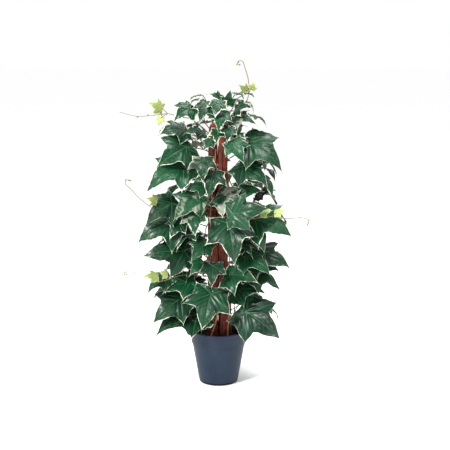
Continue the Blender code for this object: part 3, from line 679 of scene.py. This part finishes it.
def make_shoot(name, row, materials):
    """A shoot: its runner from the bundle to the curled tip of its tendril, its small leaves and its
    buds."""
    runner, curl, leaves = row
    corners = node_points(name)
    points = np.array(runner, float) * MM
    shift = settled_shift(points, corners)
    points = points + shift
    root = settled_stem(root_stems(points[0]), corners)
    route = np.concatenate([bowed(*root)[:-1], points, curl_points(points, *curl)])
    path = smooth_path(route, 8)
    t = np.linspace(0, 1, len(path))
    bodies = [tube(path, STEM_RADIUS * (1 - 0.5 * t**1.2), {"along": t[:, None]}, 1)]
    for k, (base, tip, lean) in enumerate(leaves):
        leaf = make_leaf(2000 + k, np.array(base) * MM + shift, np.array(tip) * MM + shift, lean, FRONT)
        leaf["margin"], leaf["patch"] = 0.7, 0.1
        near = points[np.argmin(np.linalg.norm(points - leaf["base"], axis=-1))]
        stalk = bowed(near, leaf["base"], UP * 3 * MM, 8)
        bodies += [blade_body(leaf, 0), tube(stalk, 0.75 * STEM_RADIUS, {"along": np.full((9, 1), 0.6)}, 1)]
    count = len(path)
    for share, side in ((0.62, 1), (0.74, -1), (0.84, 1)):
        at = path[int(share * count)]
        ahead = path[min(int(share * count) + 4, count - 1)] - at
        ahead = ahead / np.linalg.norm(ahead)
        out = ahead + side * np.array([-ahead[2], 0.0, ahead[0]])
        bodies.append(bud_body(at, out, 6 * MM, 1))
    piece = make_piece(f"{name}_growth", bodies, materials, sharp=50)
    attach(piece, "root")
    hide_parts(name)
    return piece


# ------------------------------------------------------------------ canes, vines, soil and pot


def cane_body(k):
    """A cane of split bark: a circle that tapers upwards, its radius ridged by sines of the angle that
    drift as they climb, with deep splits, and a ragged, bluntly pointed end."""
    x, y, radius, top = (value * MM for value in CANES[k])
    draw = np.random.default_rng(300 + k)
    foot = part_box(f"cane_{k + 1}")[0][2]
    tallest = CANES[-1][3] * MM
    share = (top - foot) / (tallest - foot)
    t = np.linspace(0, 1, CANE_RINGS) ** 0.8
    height = foot + (top - foot) * t
    angle = np.linspace(0, math.tau, CANE_SIDES, endpoint=False)
    climb, around = np.meshgrid(height, angle, indexing="ij")
    ridges = np.zeros_like(climb)
    for waves, size in ((3, 0.045), (5, 0.05), (9, 0.04), (14, 0.032), (23, 0.02), (37, 0.012)):
        drift = draw.uniform(4, 22) * np.sin(climb * draw.uniform(4, 14) + draw.uniform(0, 6)) * 0.09
        ridges += size * np.sin(waves * (around + drift) + draw.uniform(0, math.tau))
    for _ in range(4):
        at = draw.uniform(0, math.tau) + 0.25 * np.sin(climb * draw.uniform(6, 16) + draw.uniform(0, 6))
        gap = np.angle(np.exp(1j * (around - at)))
        ridges -= 0.16 * np.exp(-((gap / 0.06) ** 2)) * (0.5 + 0.5 * np.sin(climb * 30 + draw.uniform(0, 6)))
    from_top = (top - climb) / radius
    ragged = 1 + 0.25 * np.sin(3 * around + k) + 0.12 * np.sin(11 * around)
    point = np.clip(from_top / (1.7 * ragged), 0, 1) ** 0.45
    girth = radius * (1 - CANE_TAPER * share * t[:, None]) * (0.93 + ridges) * np.clip(point, 0.02, 1)
    lean = 1 - CANE_TAPER * share * t[:, None]
    rings = np.stack([x * lean + girth * np.cos(around), y * lean + girth * np.sin(around), climb], axis=-1)
    end = 1 - CANE_TAPER * share
    # The ridges go to the bark as split, which paints shade into the splits and valleys, and near_top paints
    # light on each cane's top.
    values = {"split": ridges[..., None], "near_top": np.exp(-from_top / 2.5)[..., None]}
    return ring_body(rings, [x, y, foot], [x * end, y * end, top], values)


def vine_path(start, turns, top):
    """A vine's centre line: it leaves the soil a little way off, then climbs the bundle in a slow helix."""
    foot = SOIL_TOP + SOIL_CROWN + VINE_RADIUS + GAP
    count = int((top * MM - foot) / VINE_STEP)
    share = np.linspace(0, 1, count + 1)
    height = foot + (top * MM - foot) * share
    angle = math.radians(start) + math.tau * turns * share
    spread = VINE_SPREAD * np.maximum(0, 1 - 8 * share) ** 2
    reach = np.array([bundle_reach(a, h, VINE_RADIUS + GAP) for a, h in zip(angle, height)]) + spread
    return np.stack([reach * np.cos(angle), reach * np.sin(angle), height], axis=-1)


def make_vine(k, material):
    """A climbing stem with the swellings of its nodes."""
    path = smooth_path(vine_path(*VINES[k]), 8)
    t = np.linspace(0, 1, len(path))
    knots = np.exp(-((((t * 13 + 0.3 * k) % 1) - 0.5) / 0.07) ** 2)
    body = tube(path, VINE_RADIUS * (1.05 - 0.35 * t + 0.3 * knots), {"along": t[:, None]}, sides=12)
    piece = make_piece(f"vine_{k + 1}_stem", [body], [material])
    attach(piece, "root")
    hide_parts(f"vine_{k + 1}")


def rounded(corners, steps=6):
    """A profile through (radius, height, rounding) corners: each corner is cut back by its rounding and
    turned along a parabola."""
    corners = np.array(corners, float)
    points = corners[:, :2]
    t = np.linspace(0, 1, steps)[:, None]
    found = [points[:1]]
    for before, (r, z, rounding), after in zip(points, corners[1:], points[2:]):
        here = np.array([r, z])
        if rounding:
            start = here + (before - here) / np.linalg.norm(before - here) * rounding
            end = here + (after - here) / np.linalg.norm(after - here) * rounding
            found.append(start * (1 - t) ** 2 + 2 * here * t * (1 - t) + end * t**2)
        else:
            found.append(here[None])
    found.append(points[-1:])
    return np.concatenate(found)


def turned(profile, around):
    """A profile of (radius, height) rows, from axis to axis, carried round the Z axis."""
    angle = np.linspace(0, math.tau, around, endpoint=False)
    radius, height = profile[1:-1].T
    rings = np.stack(
        [
            radius[:, None] * np.cos(angle),
            radius[:, None] * np.sin(angle),
            np.repeat(height[:, None], around, axis=1),
        ],
        axis=-1,
    )
    return ring_body(rings, [0, 0, profile[0][1]], [0, 0, profile[-1][1]])


def make_pot(material):
    """The pot: a rounded lip, a collar with a bead at its foot, a tapering wall with two faint moulded
    rings, a rounded foot, and a base that stands on a ring."""
    _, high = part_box("pot")
    rim, top = high[0], high[2]
    foot, wall = POT_FOOT, POT_WALL
    collar = top - COLLAR_HEIGHT
    under = foot + (rim - COLLAR_STEP - foot) * collar / top
    profile = rounded(
        [
            (0, wall, 0),
            (foot - wall - 1 * MM, wall, 2 * MM),
            (rim - 5 * MM, top - 1.2 * MM, 0.8 * MM),
            (rim - 3.6 * MM, top, 1.1 * MM),
            (rim, top, 1.3 * MM),
            (rim, top - 3.2 * MM, 0.8 * MM),
            (rim - 0.9 * MM, top - 4.2 * MM, 0.8 * MM),
            (under + 2.5 * MM, collar + 1.6 * MM, 0.8 * MM),
            (under + 2.3 * MM, collar, 0.7 * MM),
            (under + 0.1 * MM, collar - 1.4 * MM, 0.8 * MM),
            (under - 0.3 * MM, collar - 5 * MM, 0.6 * MM),
            (under, collar - 5.6 * MM, 0.3 * MM),
            (under - 0.5 * MM, collar - 6.6 * MM, 0.6 * MM),
            (foot, 4.5 * MM, 4 * MM),
            (foot - 4.5 * MM, 0, 2 * MM),
            (foot - 9 * MM, 0, 1 * MM),
            (foot - 11 * MM, 1.1 * MM, 0.8 * MM),
            (0, 1.1 * MM, 0),
        ]
    )
    piece = make_piece("pot_shell", [turned(profile, 160)], [material], sharp=60)
    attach(piece, "root")
    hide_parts("pot")


def make_soil(material):
    """The soil: a disc that rises to the bundle, its height lifted into lumps by sums of sines, over a
    plug; and crumbs, each a ring body of a few faces, scattered over it."""
    draw = np.random.default_rng(41)
    low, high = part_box("soil")
    edge, floor = high[0], low[2]
    around = 180
    angle = np.linspace(0, math.tau, around, endpoint=False)
    radius = np.concatenate([np.linspace(0.03, 0.985, 60) * edge, [edge]])
    r, a = np.meshgrid(radius, angle, indexing="ij")
    x, y = r * np.cos(a), r * np.sin(a)
    lumps = np.zeros_like(x)
    for scale in (90, 170, 330, 610, 1100):
        turn, phase = draw.uniform(0, math.tau, 3), draw.uniform(0, math.tau, 3)
        waves = [np.sin(scale * (x * math.cos(t) + y * math.sin(t)) + p) for t, p in zip(turn, phase)]
        lumps += waves[0] * waves[1] + 0.6 * waves[2] * waves[0]
        lumps *= 0.62
    crown = SOIL_TOP + SOIL_CROWN * np.clip((edge - r) / (edge - BUNDLE_EDGE), 0, 1)
    z = crown - 1.4 * MM + 1.3 * MM * np.clip(lumps, -1.5, 1.5)
    rings = np.stack([x, y, z], axis=-1)
    lower = np.stack([0.995 * x[-1], 0.995 * y[-1], np.full(around, SOIL_TOP - 12 * MM)], axis=-1)
    plug = np.stack([0.74 * x[-1], 0.74 * y[-1], np.full(around, floor)], axis=-1)
    rings = np.concatenate([rings, lower[None], plug[None]])
    top = rings[0].mean(axis=0)
    bodies = [ring_body(rings, top, [0, 0, floor])]
    for _ in range(CRUMBS):
        size = draw.uniform(0.7, 2.4) * MM
        reach, turn = draw.uniform(38, 63) * MM, draw.uniform(0, math.tau)
        height = SOIL_TOP + SOIL_CROWN * max(0.0, (edge - reach) / (edge - BUNDLE_EDGE)) + 0.1 * size
        polar = np.radians([35, 75, 110, 150])[:, None]
        spin = np.linspace(0, math.tau, 7, endpoint=False)[None]
        rough = draw.uniform(0.7, 1.2, (4, 7))
        offset = np.stack(
            [
                np.sin(polar) * np.cos(spin) * rough,
                np.sin(polar) * np.sin(spin) * rough,
                np.cos(polar) * rough * 0.8,
            ],
            axis=-1,
        )
        centre = np.array([reach * math.cos(turn), reach * math.sin(turn), height])
        bodies.append(ring_body(centre + size * offset, centre + UP * size * 0.8, centre - UP * size * 0.8))
    piece = make_piece("soil_bed", bodies, [material])
    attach(piece, "root")
    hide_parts("soil")


# ------------------------------------------------------------------ materials


class Nodes:
    """Short ways to add shader nodes to a tree. Each call gives the new node's first output."""

    def __init__(self, tree):
        self.tree = tree

    def put(self, socket, value):
        """Links a socket to an input, or sets the input to a plain value."""
        if isinstance(value, bpy.types.NodeSocket):
            self.tree.links.new(value, socket)
        elif isinstance(value, tuple) and len(value) == 3 and socket.type == "RGBA":
            socket.default_value = (*value, 1.0)
        else:
            socket.default_value = value

    def add(self, kind, inputs=None, **settings):
        """A node of a kind, with its settings and inputs by name or number."""
        node = self.tree.nodes.new(kind)
        for key, value in settings.items():
            setattr(node, key, value)
        for key, value in (inputs or {}).items():
            self.put(node.inputs[key], value)
        return node

    def math(self, operation, a, b=0.0, c=0.0, clamp=False):
        """One step of arithmetic."""
        return self.add("ShaderNodeMath", {0: a, 1: b, 2: c}, operation=operation, use_clamp=clamp).outputs[0]

    def mix(self, share, a, b, blend="MIX"):
        """Two colours mixed."""
        node = self.add("ShaderNodeMix", {0: share, 6: a, 7: b}, data_type="RGBA", blend_type=blend)
        return node.outputs[2]

    def blur(self, value, low, high, out_low=0.0, out_high=1.0):
        """A smooth step of a value from low to high."""
        inputs = {"Value": value, 1: low, 2: high, 3: out_low, 4: out_high}
        return self.add("ShaderNodeMapRange", inputs, interpolation_type="SMOOTHSTEP").outputs[0]

    def noise(self, vector, scale, detail=3.0, rough=0.55, distortion=0.0):
        """Fractal noise between 0 and 1."""
        inputs = {"Vector": vector, "Scale": scale, "Detail": detail}
        inputs.update({"Roughness": rough, "Distortion": distortion})
        return self.add("ShaderNodeTexNoise", inputs).outputs[0]

    def scaled(self, vector, scale):
        """A vector times a vector."""
        return self.add("ShaderNodeVectorMath", {0: vector, 1: scale}, operation="MULTIPLY").outputs[0]

    def parts(self, vector):
        """The three parts of a vector."""
        return self.add("ShaderNodeSeparateXYZ", {0: vector}).outputs

    def attribute(self, name, output="Vector"):
        """An attribute of the mesh."""
        return self.add("ShaderNodeAttribute", attribute_name=name).outputs[output]

    def place(self):
        """The point in the object's own space."""
        return self.add("ShaderNodeTexCoord").outputs["Object"]


def new_group(name, inputs, outputs):
    """A shader node group with named sockets: (tree, its Nodes, its inputs by name, the output node)."""
    tree = bpy.data.node_groups.new(name, "ShaderNodeTree")
    for label, kind, value in inputs:
        socket = tree.interface.new_socket(label, in_out="INPUT", socket_type=f"NodeSocket{kind}")
        if value is not None:
            socket.default_value = value
    for label, kind in outputs:
        tree.interface.new_socket(label, in_out="OUTPUT", socket_type=f"NodeSocket{kind}")
    nodes = Nodes(tree)
    given = nodes.add("NodeGroupInput").outputs
    return nodes, {label: given[label] for label, _, _ in inputs}, nodes.add("NodeGroupOutput")


def use_group(nodes, group, **inputs):
    """A group placed in a material with its own values."""
    node = nodes.add("ShaderNodeGroup", node_tree=group)
    for key, value in inputs.items():
        nodes.put(node.inputs[key.replace("_", " ")], value)
    return node.outputs


def mottle_group():
    """Cloudy and speckled unevenness: broad noise and fine noise on the object's own coordinates."""
    nodes, given, out = new_group(
        "mottle",
        [("Scale", "Float", 40.0), ("Fine Scale", "Float", 400.0)],
        [("Cloud", "Float"), ("Speck", "Float")],
    )
    place = nodes.place()
    nodes.put(out.inputs["Cloud"], nodes.noise(place, given["Scale"], 4.0, 0.6, 0.4))
    nodes.put(out.inputs["Speck"], nodes.noise(place, given["Fine Scale"], 2.0, 0.7))
    return nodes.tree


def dust_group():
    """Settled dust: a mask of fine specks in broad drifts."""
    nodes, given, out = new_group("dust", [("Amount", "Float", 0.3)], [("Mask", "Float")])
    place = nodes.place()
    drift = nodes.blur(nodes.noise(place, 18.0, 3.0), 0.4, 0.75)
    speck = nodes.blur(nodes.noise(place, 1300.0, 1.0), 0.56, 0.72)
    both = nodes.math("ADD", nodes.math("MULTIPLY", speck, 0.7), 0.3)
    dusty = nodes.math("MULTIPLY", drift, both)
    nodes.put(out.inputs["Mask"], nodes.math("MULTIPLY", dusty, given["Amount"]))
    return nodes.tree


def fibre_group():
    """Fibres along the Z axis: noise stretched along it, coarse strands and fine ones."""
    nodes, given, out = new_group(
        "fibres",
        [("Strands", "Float", 300.0), ("Stretch", "Float", 0.04)],
        [("Coarse", "Float"), ("Fine", "Float")],
    )
    squeeze = nodes.add("ShaderNodeCombineXYZ", {0: 1.0, 1: 1.0, 2: given["Stretch"]}).outputs[0]
    along = nodes.scaled(nodes.place(), squeeze)
    nodes.put(out.inputs["Coarse"], nodes.noise(along, given["Strands"], 4.0, 0.65, 0.6))
    finer = nodes.math("MULTIPLY", given["Strands"], 3.7)
    nodes.put(out.inputs["Fine"], nodes.noise(along, finer, 2.0, 0.6))
    return nodes.tree


def rib_group():
    """A blade's ribs from its own (x, y): a thin wedge along each lobe, and slanting veins between them.
    Ribs and Veins are their masks."""
    nodes, given, out = new_group(
        "ribs",
        [("Blade", "Vector", None), ("Width", "Float", 0.016)],
        [("Ribs", "Float"), ("Veins", "Float")],
    )
    x, y, _ = nodes.parts(given["Blade"])
    wobble = nodes.math("MULTIPLY", nodes.math("SUBTRACT", nodes.noise(given["Blade"], 6.0, 2.0), 0.5), 0.05)
    side = nodes.math("ABSOLUTE", y)
    ribs = 0.0
    for degrees, length in LOBES:
        c, s = math.cos(math.radians(degrees)), math.sin(math.radians(degrees))
        along = nodes.math("ADD", nodes.math("MULTIPLY", x, c), nodes.math("MULTIPLY", side, s))
        off = nodes.math("SUBTRACT", nodes.math("MULTIPLY", side, c), nodes.math("MULTIPLY", x, s))
        off = nodes.math("ABSOLUTE", nodes.math("ADD", off, nodes.math("MULTIPLY", wobble, 0.35)))
        taper = nodes.blur(along, 0.0, length, 1.0, 0.25)
        inside = nodes.math("GREATER_THAN", along, 0.0)
        width = nodes.math("MULTIPLY", given["Width"], taper)
        band = nodes.blur(nodes.math("DIVIDE", off, width), 0.3, 1.0, 1.0, 0.0)
        line = nodes.math("MULTIPLY", band, inside)
        ribs = nodes.math("MAXIMUM", ribs, line)
    slant = nodes.math("ADD", nodes.math("SUBTRACT", x, nodes.math("MULTIPLY", side, 0.75)), wobble)
    step = nodes.math("PINGPONG", slant, 0.055)
    veins = nodes.blur(step, 0.0, 0.010, 1.0, 0.0)
    nodes.put(out.inputs["Ribs"], ribs)
    nodes.put(out.inputs["Veins"], veins)
    return nodes.tree


def margin_group():
    """A blade's cream margin: a band whose inner edge wanders, and pale patches that reach in from it.
    Marks holds (seed, band in mm, share of the blade that is pale)."""
    nodes, given, out = new_group(
        "cream_margin",
        [("Blade", "Vector", None), ("Marks", "Vector", None)],
        [("Band", "Float"), ("Patch", "Float")],
    )
    x, y, edge = nodes.parts(given["Blade"])
    seed, band, pale = nodes.parts(given["Marks"])
    flat = nodes.add("ShaderNodeCombineXYZ", {0: x, 1: y, 2: seed}).outputs[0]
    wander = nodes.blur(nodes.noise(flat, 5.5, 3.0, 0.6), 0.36, 0.68, 0.0, 2.2)
    width = nodes.math("MULTIPLY", band, wander)
    inner = nodes.math("SUBTRACT", edge, width)
    nodes.put(out.inputs["Band"], nodes.blur(inner, -0.35, 0.45, 1.0, 0.0))
    cloud = nodes.math("ADD", nodes.noise(flat, 2.1, 4.0, 0.62, 0.5), nodes.math("MULTIPLY", pale, 0.32))
    nodes.put(out.inputs["Patch"], nodes.blur(cloud, 0.68, 0.75))
    return nodes.tree


GROUPS = {}


def new_material(name, roughness, **constants):
    """A material with a Principled BSDF: (material, its Nodes, the shader's inputs)."""
    material = bpy.data.materials.new(name)
    material.use_nodes = True
    shader = material.node_tree.nodes["Principled BSDF"]
    shader.inputs["Roughness"].default_value = roughness
    for key, value in constants.items():
        shader.inputs[key.replace("_", " ")].default_value = value
    return material, Nodes(material.node_tree), shader.inputs


def add_bump(nodes, shader, height, strength, distance):
    """A bump that feeds the shader's normal."""
    bump = nodes.add("ShaderNodeBump", {"Height": height, "Strength": strength, "Distance": distance})
    nodes.put(shader["Normal"], bump.outputs[0])


def leaf_material(name, deep, fresh, rib, cream, under, pale_share=1.0):
    """A waxy ivy blade: deep and fresh green in clouds, lighter ribs and veins, a cream margin, pale
    patches, and a dull underside."""
    material, nodes, shader = new_material(name, 0.35, Specular_IOR_Level=0.24)
    blade, marks = nodes.attribute("blade"), nodes.attribute("marks")
    side = nodes.attribute("under", "Fac")
    seed = nodes.parts(marks)[0]
    ribs, veins = use_group(nodes, GROUPS["ribs"], Blade=blade)
    band, patch = use_group(nodes, GROUPS["margin"], Blade=blade, Marks=marks)
    cloud, speck = use_group(nodes, GROUPS["mottle"], Scale=26.0, Fine_Scale=700.0)
    dust = use_group(nodes, GROUPS["dust"], Amount=0.05)[0]
    tone = nodes.math("FRACT", nodes.math("MULTIPLY", seed, 7.31))
    clouded = nodes.math("MULTIPLY", nodes.blur(cloud, 0.3, 0.7), 0.55)
    share = nodes.math("ADD", clouded, nodes.math("MULTIPLY", tone, 0.7))
    color = nodes.mix(nodes.math("MINIMUM", share, 1.0), deep, fresh)
    color = nodes.mix(nodes.math("MULTIPLY", veins, 0.22), color, rib)
    color = nodes.mix(nodes.math("MULTIPLY", ribs, 0.75), color, rib)
    color = nodes.mix(nodes.math("MULTIPLY", patch, 0.6 * pale_share), color, tuple(0.5 * c for c in cream))
    color = nodes.mix(nodes.math("MULTIPLY", band, 0.85), color, cream)
    color = nodes.mix(nodes.math("MULTIPLY", side, 0.75), color, under)
    color = nodes.mix(nodes.math("MULTIPLY", nodes.blur(speck, 0.45, 0.8), 0.12), color, deep)
    color = nodes.mix(dust, color, (0.42, 0.43, 0.38))
    nodes.put(shader["Base Color"], color)
    rough = nodes.math("ADD", 0.22, nodes.math("MULTIPLY", cloud, 0.16))
    rough = nodes.math("ADD", rough, nodes.math("MULTIPLY", side, 0.25))
    nodes.put(shader["Roughness"], nodes.math("ADD", rough, nodes.math("MULTIPLY", dust, 0.5)))
    height = nodes.math("SUBTRACT", nodes.math("MULTIPLY", speck, 0.25), nodes.math("MULTIPLY", ribs, 0.9))
    height = nodes.math("SUBTRACT", height, nodes.math("MULTIPLY", veins, 0.5))
    add_bump(nodes, shader, height, 0.5, 0.5 * MM)
    return material


def stem_material(name, foot, tip):
    """A young stem's skin, from its foot's colour to its tip's, finely streaked along it."""
    material, nodes, shader = new_material(name, 0.5)
    along = nodes.attribute("along", "Fac")
    coarse, fine = use_group(nodes, GROUPS["fibres"], Strands=420.0, Stretch=0.25)
    cloud, speck = use_group(nodes, GROUPS["mottle"], Scale=70.0, Fine_Scale=900.0)
    color = nodes.mix(nodes.math("ADD", along, nodes.math("SUBTRACT", cloud, 0.5), clamp=True), foot, tip)
    dark = nodes.math("MULTIPLY", nodes.blur(coarse, 0.5, 0.7), 0.45)
    color = nodes.mix(dark, color, tuple(0.35 * c for c in foot))
    pale = tuple(min(1, 1.8 * c) for c in tip)
    color = nodes.mix(nodes.math("MULTIPLY", nodes.blur(speck, 0.6, 0.75), 0.3), color, pale)
    nodes.put(shader["Base Color"], color)
    nodes.put(shader["Roughness"], nodes.math("ADD", 0.4, nodes.math("MULTIPLY", fine, 0.3)))
    add_bump(nodes, shader, nodes.math("ADD", coarse, fine), 0.4, 0.3 * MM)
    return material


def bark_material(name, deep, red, painted_highlight):
    """Split bark: red-brown fibres, painted shade that goes near black in the splits and valleys, and
    painted highlights in bright orange-red patches and on each cane's ragged top."""
    material, nodes, shader = new_material(name, 0.7, Specular_IOR_Level=0.35)
    split = nodes.attribute("split", "Fac")
    near_top = nodes.attribute("near_top", "Fac")
    coarse, fine = use_group(nodes, GROUPS["fibres"], Strands=260.0, Stretch=0.05)
    cloud, speck = use_group(nodes, GROUPS["mottle"], Scale=35.0, Fine_Scale=600.0)
    dust = use_group(nodes, GROUPS["dust"], Amount=0.2)[0]
    # Painted shade: red on the crests, near black down in the splits and valleys, streaked by the fibres.
    ridge = nodes.math("ADD", nodes.blur(split, -0.12, 0.08), nodes.math("SUBTRACT", coarse, 0.5))
    color = nodes.mix(nodes.math("ADD", ridge, 0.0, clamp=True), deep, red)
    # Painted highlights: bright orange-red patches, and painted light on each cane's top.
    lit = nodes.math("MULTIPLY", nodes.blur(fine, 0.45, 0.7), nodes.blur(cloud, 0.35, 0.65))
    painted_top_light = nodes.math("MULTIPLY", near_top, 0.35)
    lit = nodes.math("ADD", nodes.math("MULTIPLY", lit, 0.75), painted_top_light, clamp=True)
    color = nodes.mix(lit, color, painted_highlight)
    color = nodes.mix(nodes.math("MULTIPLY", nodes.blur(speck, 0.55, 0.75), 0.35), color, deep)
    color = nodes.mix(dust, color, (0.3, 0.22, 0.16))
    nodes.put(shader["Base Color"], color)
    nodes.put(shader["Roughness"], nodes.math("ADD", 0.55, nodes.math("MULTIPLY", coarse, 0.35)))
    add_bump(nodes, shader, nodes.math("ADD", nodes.math("MULTIPLY", coarse, 1.4), fine), 0.9, 0.9 * MM)
    return material


def soil_material():
    """Damp potting soil: near black, with browner crumbs and pale grit."""
    material, nodes, shader = new_material("potting_soil", 0.9, Specular_IOR_Level=0.25)
    cloud, speck = use_group(nodes, GROUPS["mottle"], Scale=160.0, Fine_Scale=1500.0)
    color = nodes.mix(nodes.blur(cloud, 0.35, 0.75), (0.004, 0.003, 0.003), (0.022, 0.013, 0.009))
    color = nodes.mix(nodes.math("MULTIPLY", nodes.blur(speck, 0.66, 0.74), 0.5), color, (0.10, 0.08, 0.06))
    nodes.put(shader["Base Color"], color)
    nodes.put(shader["Roughness"], nodes.math("ADD", 0.78, nodes.math("MULTIPLY", cloud, 0.2)))
    add_bump(nodes, shader, nodes.math("ADD", cloud, nodes.math("MULTIPLY", speck, 0.5)), 0.9, 1.2 * MM)
    return material


def pot_material():
    """Moulded slate-blue plastic: a faint orange peel, clouded gloss, scuffs near the foot and the lip, and
    dust."""
    material, nodes, shader = new_material("moulded_plastic", 0.45, Specular_IOR_Level=0.16)
    cloud, speck = use_group(nodes, GROUPS["mottle"], Scale=22.0, Fine_Scale=1100.0)
    dust = use_group(nodes, GROUPS["dust"], Amount=0.08)[0]
    place = nodes.place()
    height = nodes.parts(place)[2]
    color = nodes.mix(nodes.blur(cloud, 0.3, 0.7), (0.010, 0.019, 0.037), (0.014, 0.025, 0.046))
    stretched = nodes.scaled(place, (1.0, 1.0, 0.12))
    scratch = nodes.blur(nodes.noise(stretched, 520.0, 2.0, 0.7), 0.66, 0.72)
    low = nodes.blur(height, 0.0, 0.035, 1.0, 0.0)
    lip = nodes.blur(height, 0.130, 0.138)
    edges = nodes.math("ADD", nodes.math("MAXIMUM", low, lip), 0.12)
    wear = nodes.math("MULTIPLY", edges, scratch, clamp=True)
    color = nodes.mix(nodes.math("MULTIPLY", wear, 0.5), color, (0.13, 0.17, 0.22))
    color = nodes.mix(dust, color, (0.12, 0.14, 0.16))
    nodes.put(shader["Base Color"], color)
    rough = nodes.math("ADD", 0.36, nodes.math("MULTIPLY", cloud, 0.2))
    dull = nodes.math("MULTIPLY", nodes.math("ADD", wear, dust), 0.3)
    nodes.put(shader["Roughness"], nodes.math("ADD", rough, dull))
    ring = nodes.math("SINE", nodes.math("MULTIPLY", height, RING_PITCH))
    ring = nodes.math("MULTIPLY", ring, nodes.blur(nodes.noise(stretched, 30.0, 2.0), 0.35, 0.7))
    relief = nodes.math("ADD", nodes.math("MULTIPLY", speck, 0.5), nodes.math("MULTIPLY", ring, 0.8))
    add_bump(nodes, shader, nodes.math("ADD", relief, nodes.math("MULTIPLY", scratch, 0.3)), 0.2, 0.3 * MM)
    return material


# ------------------------------------------------------------------ the studio


def make_studio():
    """A pale floor, soft white light and the camera."""
    scene = bpy.context.scene
    mesh = bpy.data.meshes.new("floor")
    corners = [(x * FLOOR, y * FLOOR, 0) for x, y in ((-1, -1), (1, -1), (1, 1), (-1, 1))]
    mesh.from_pydata(corners, [], [(0, 1, 2, 3)])
    floor = bpy.data.objects.new("floor", mesh)
    scene.collection.objects.link(floor)
    material, _, shader = new_material("studio_floor", 0.9)
    shader["Base Color"].default_value = (0.99, 0.99, 0.99, 1.0)
    mesh.materials.append(material)

    world = bpy.data.worlds.new("studio")
    world.use_nodes = True
    world.node_tree.nodes["Background"].inputs["Color"].default_value = (1.0, 1.0, 1.0, 1.0)
    world.node_tree.nodes["Background"].inputs["Strength"].default_value = 1.0
    scene.world = world
    for name, place, size, power, aim in (
        ("key", (-1.5, -1.9, 2.3), 0.7, 130, (0, 0, 0.45)),
        ("top", (0.3, 0.2, 2.8), 1.2, 70, (0, 0, 0.45)),
    ):
        light = bpy.data.lights.new(name, "AREA")
        light.size = size
        light.energy = power
        lamp = bpy.data.objects.new(name, light)
        scene.collection.objects.link(lamp)
        lamp.location = place
        away = np.array(place) - np.array(aim)
        tilt = math.atan2(math.hypot(away[0], away[1]), away[2])
        lamp.rotation_euler = (tilt, 0, math.atan2(away[0], -away[1]))

    camera = bpy.data.objects.new("camera", bpy.data.cameras.new("camera"))
    camera.data.lens = 80.5
    camera.data.sensor_width = 36
    camera.location = (16.5 * MM, -2.5, 0.83)
    camera.rotation_euler = (math.radians(90 - 9.6), 0, 0)
    scene.collection.objects.link(camera)
    scene.camera = camera
    scene.view_settings.view_transform = "Standard"


def main():
    """Builds every visible piece."""
    global BLADE
    BLADE = blade_grid()
    GROUPS.update(
        mottle=mottle_group(),
        dust=dust_group(),
        fibres=fibre_group(),
        ribs=rib_group(),
        margin=margin_group(),
    )
    leaf = leaf_material("ivy_leaf", (0.001, 0.009, 0.005), (0.004, 0.052, 0.018), (0.025, 0.11, 0.042),
                         (0.62, 0.66, 0.52), (0.035, 0.065, 0.030))
    young = leaf_material("young_leaf", (0.15, 0.20, 0.05), (0.30, 0.36, 0.12), (0.42, 0.47, 0.20),
                          (0.50, 0.54, 0.30), (0.22, 0.27, 0.10), 0.3)
    stem = stem_material("leaf_stem", (0.11, 0.055, 0.022), (0.10, 0.13, 0.045))
    runner = stem_material("runner", (0.20, 0.09, 0.02), (0.15, 0.13, 0.05))
    vine = stem_material("vine_skin", (0.33, 0.14, 0.045), (0.40, 0.20, 0.07))
    # The bark's near black is painted shade in the splits, and its bright orange-red is painted highlight.
    bark = bark_material("split_bark", (0.007, 0.001, 0.001), (0.13, 0.017, 0.008), (0.50, 0.10, 0.035))
    for k in range(len(CANES)):
        piece = make_piece(f"cane_{k + 1}_bark", [cane_body(k)], [bark], sharp=60)
        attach(piece, "root")
        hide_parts(f"cane_{k + 1}")
    for k in range(len(VINES)):
        make_vine(k, vine)
    for name, leaves in {**front_sprays(), **rear_sprays()}.items():
        make_spray(name, leaves, [leaf, stem])
    for name, row in SHOOTS.items():
        make_shoot(name, row, [young, runner])
    make_soil(soil_material())
    make_pot(pot_material())
    make_studio()


main()
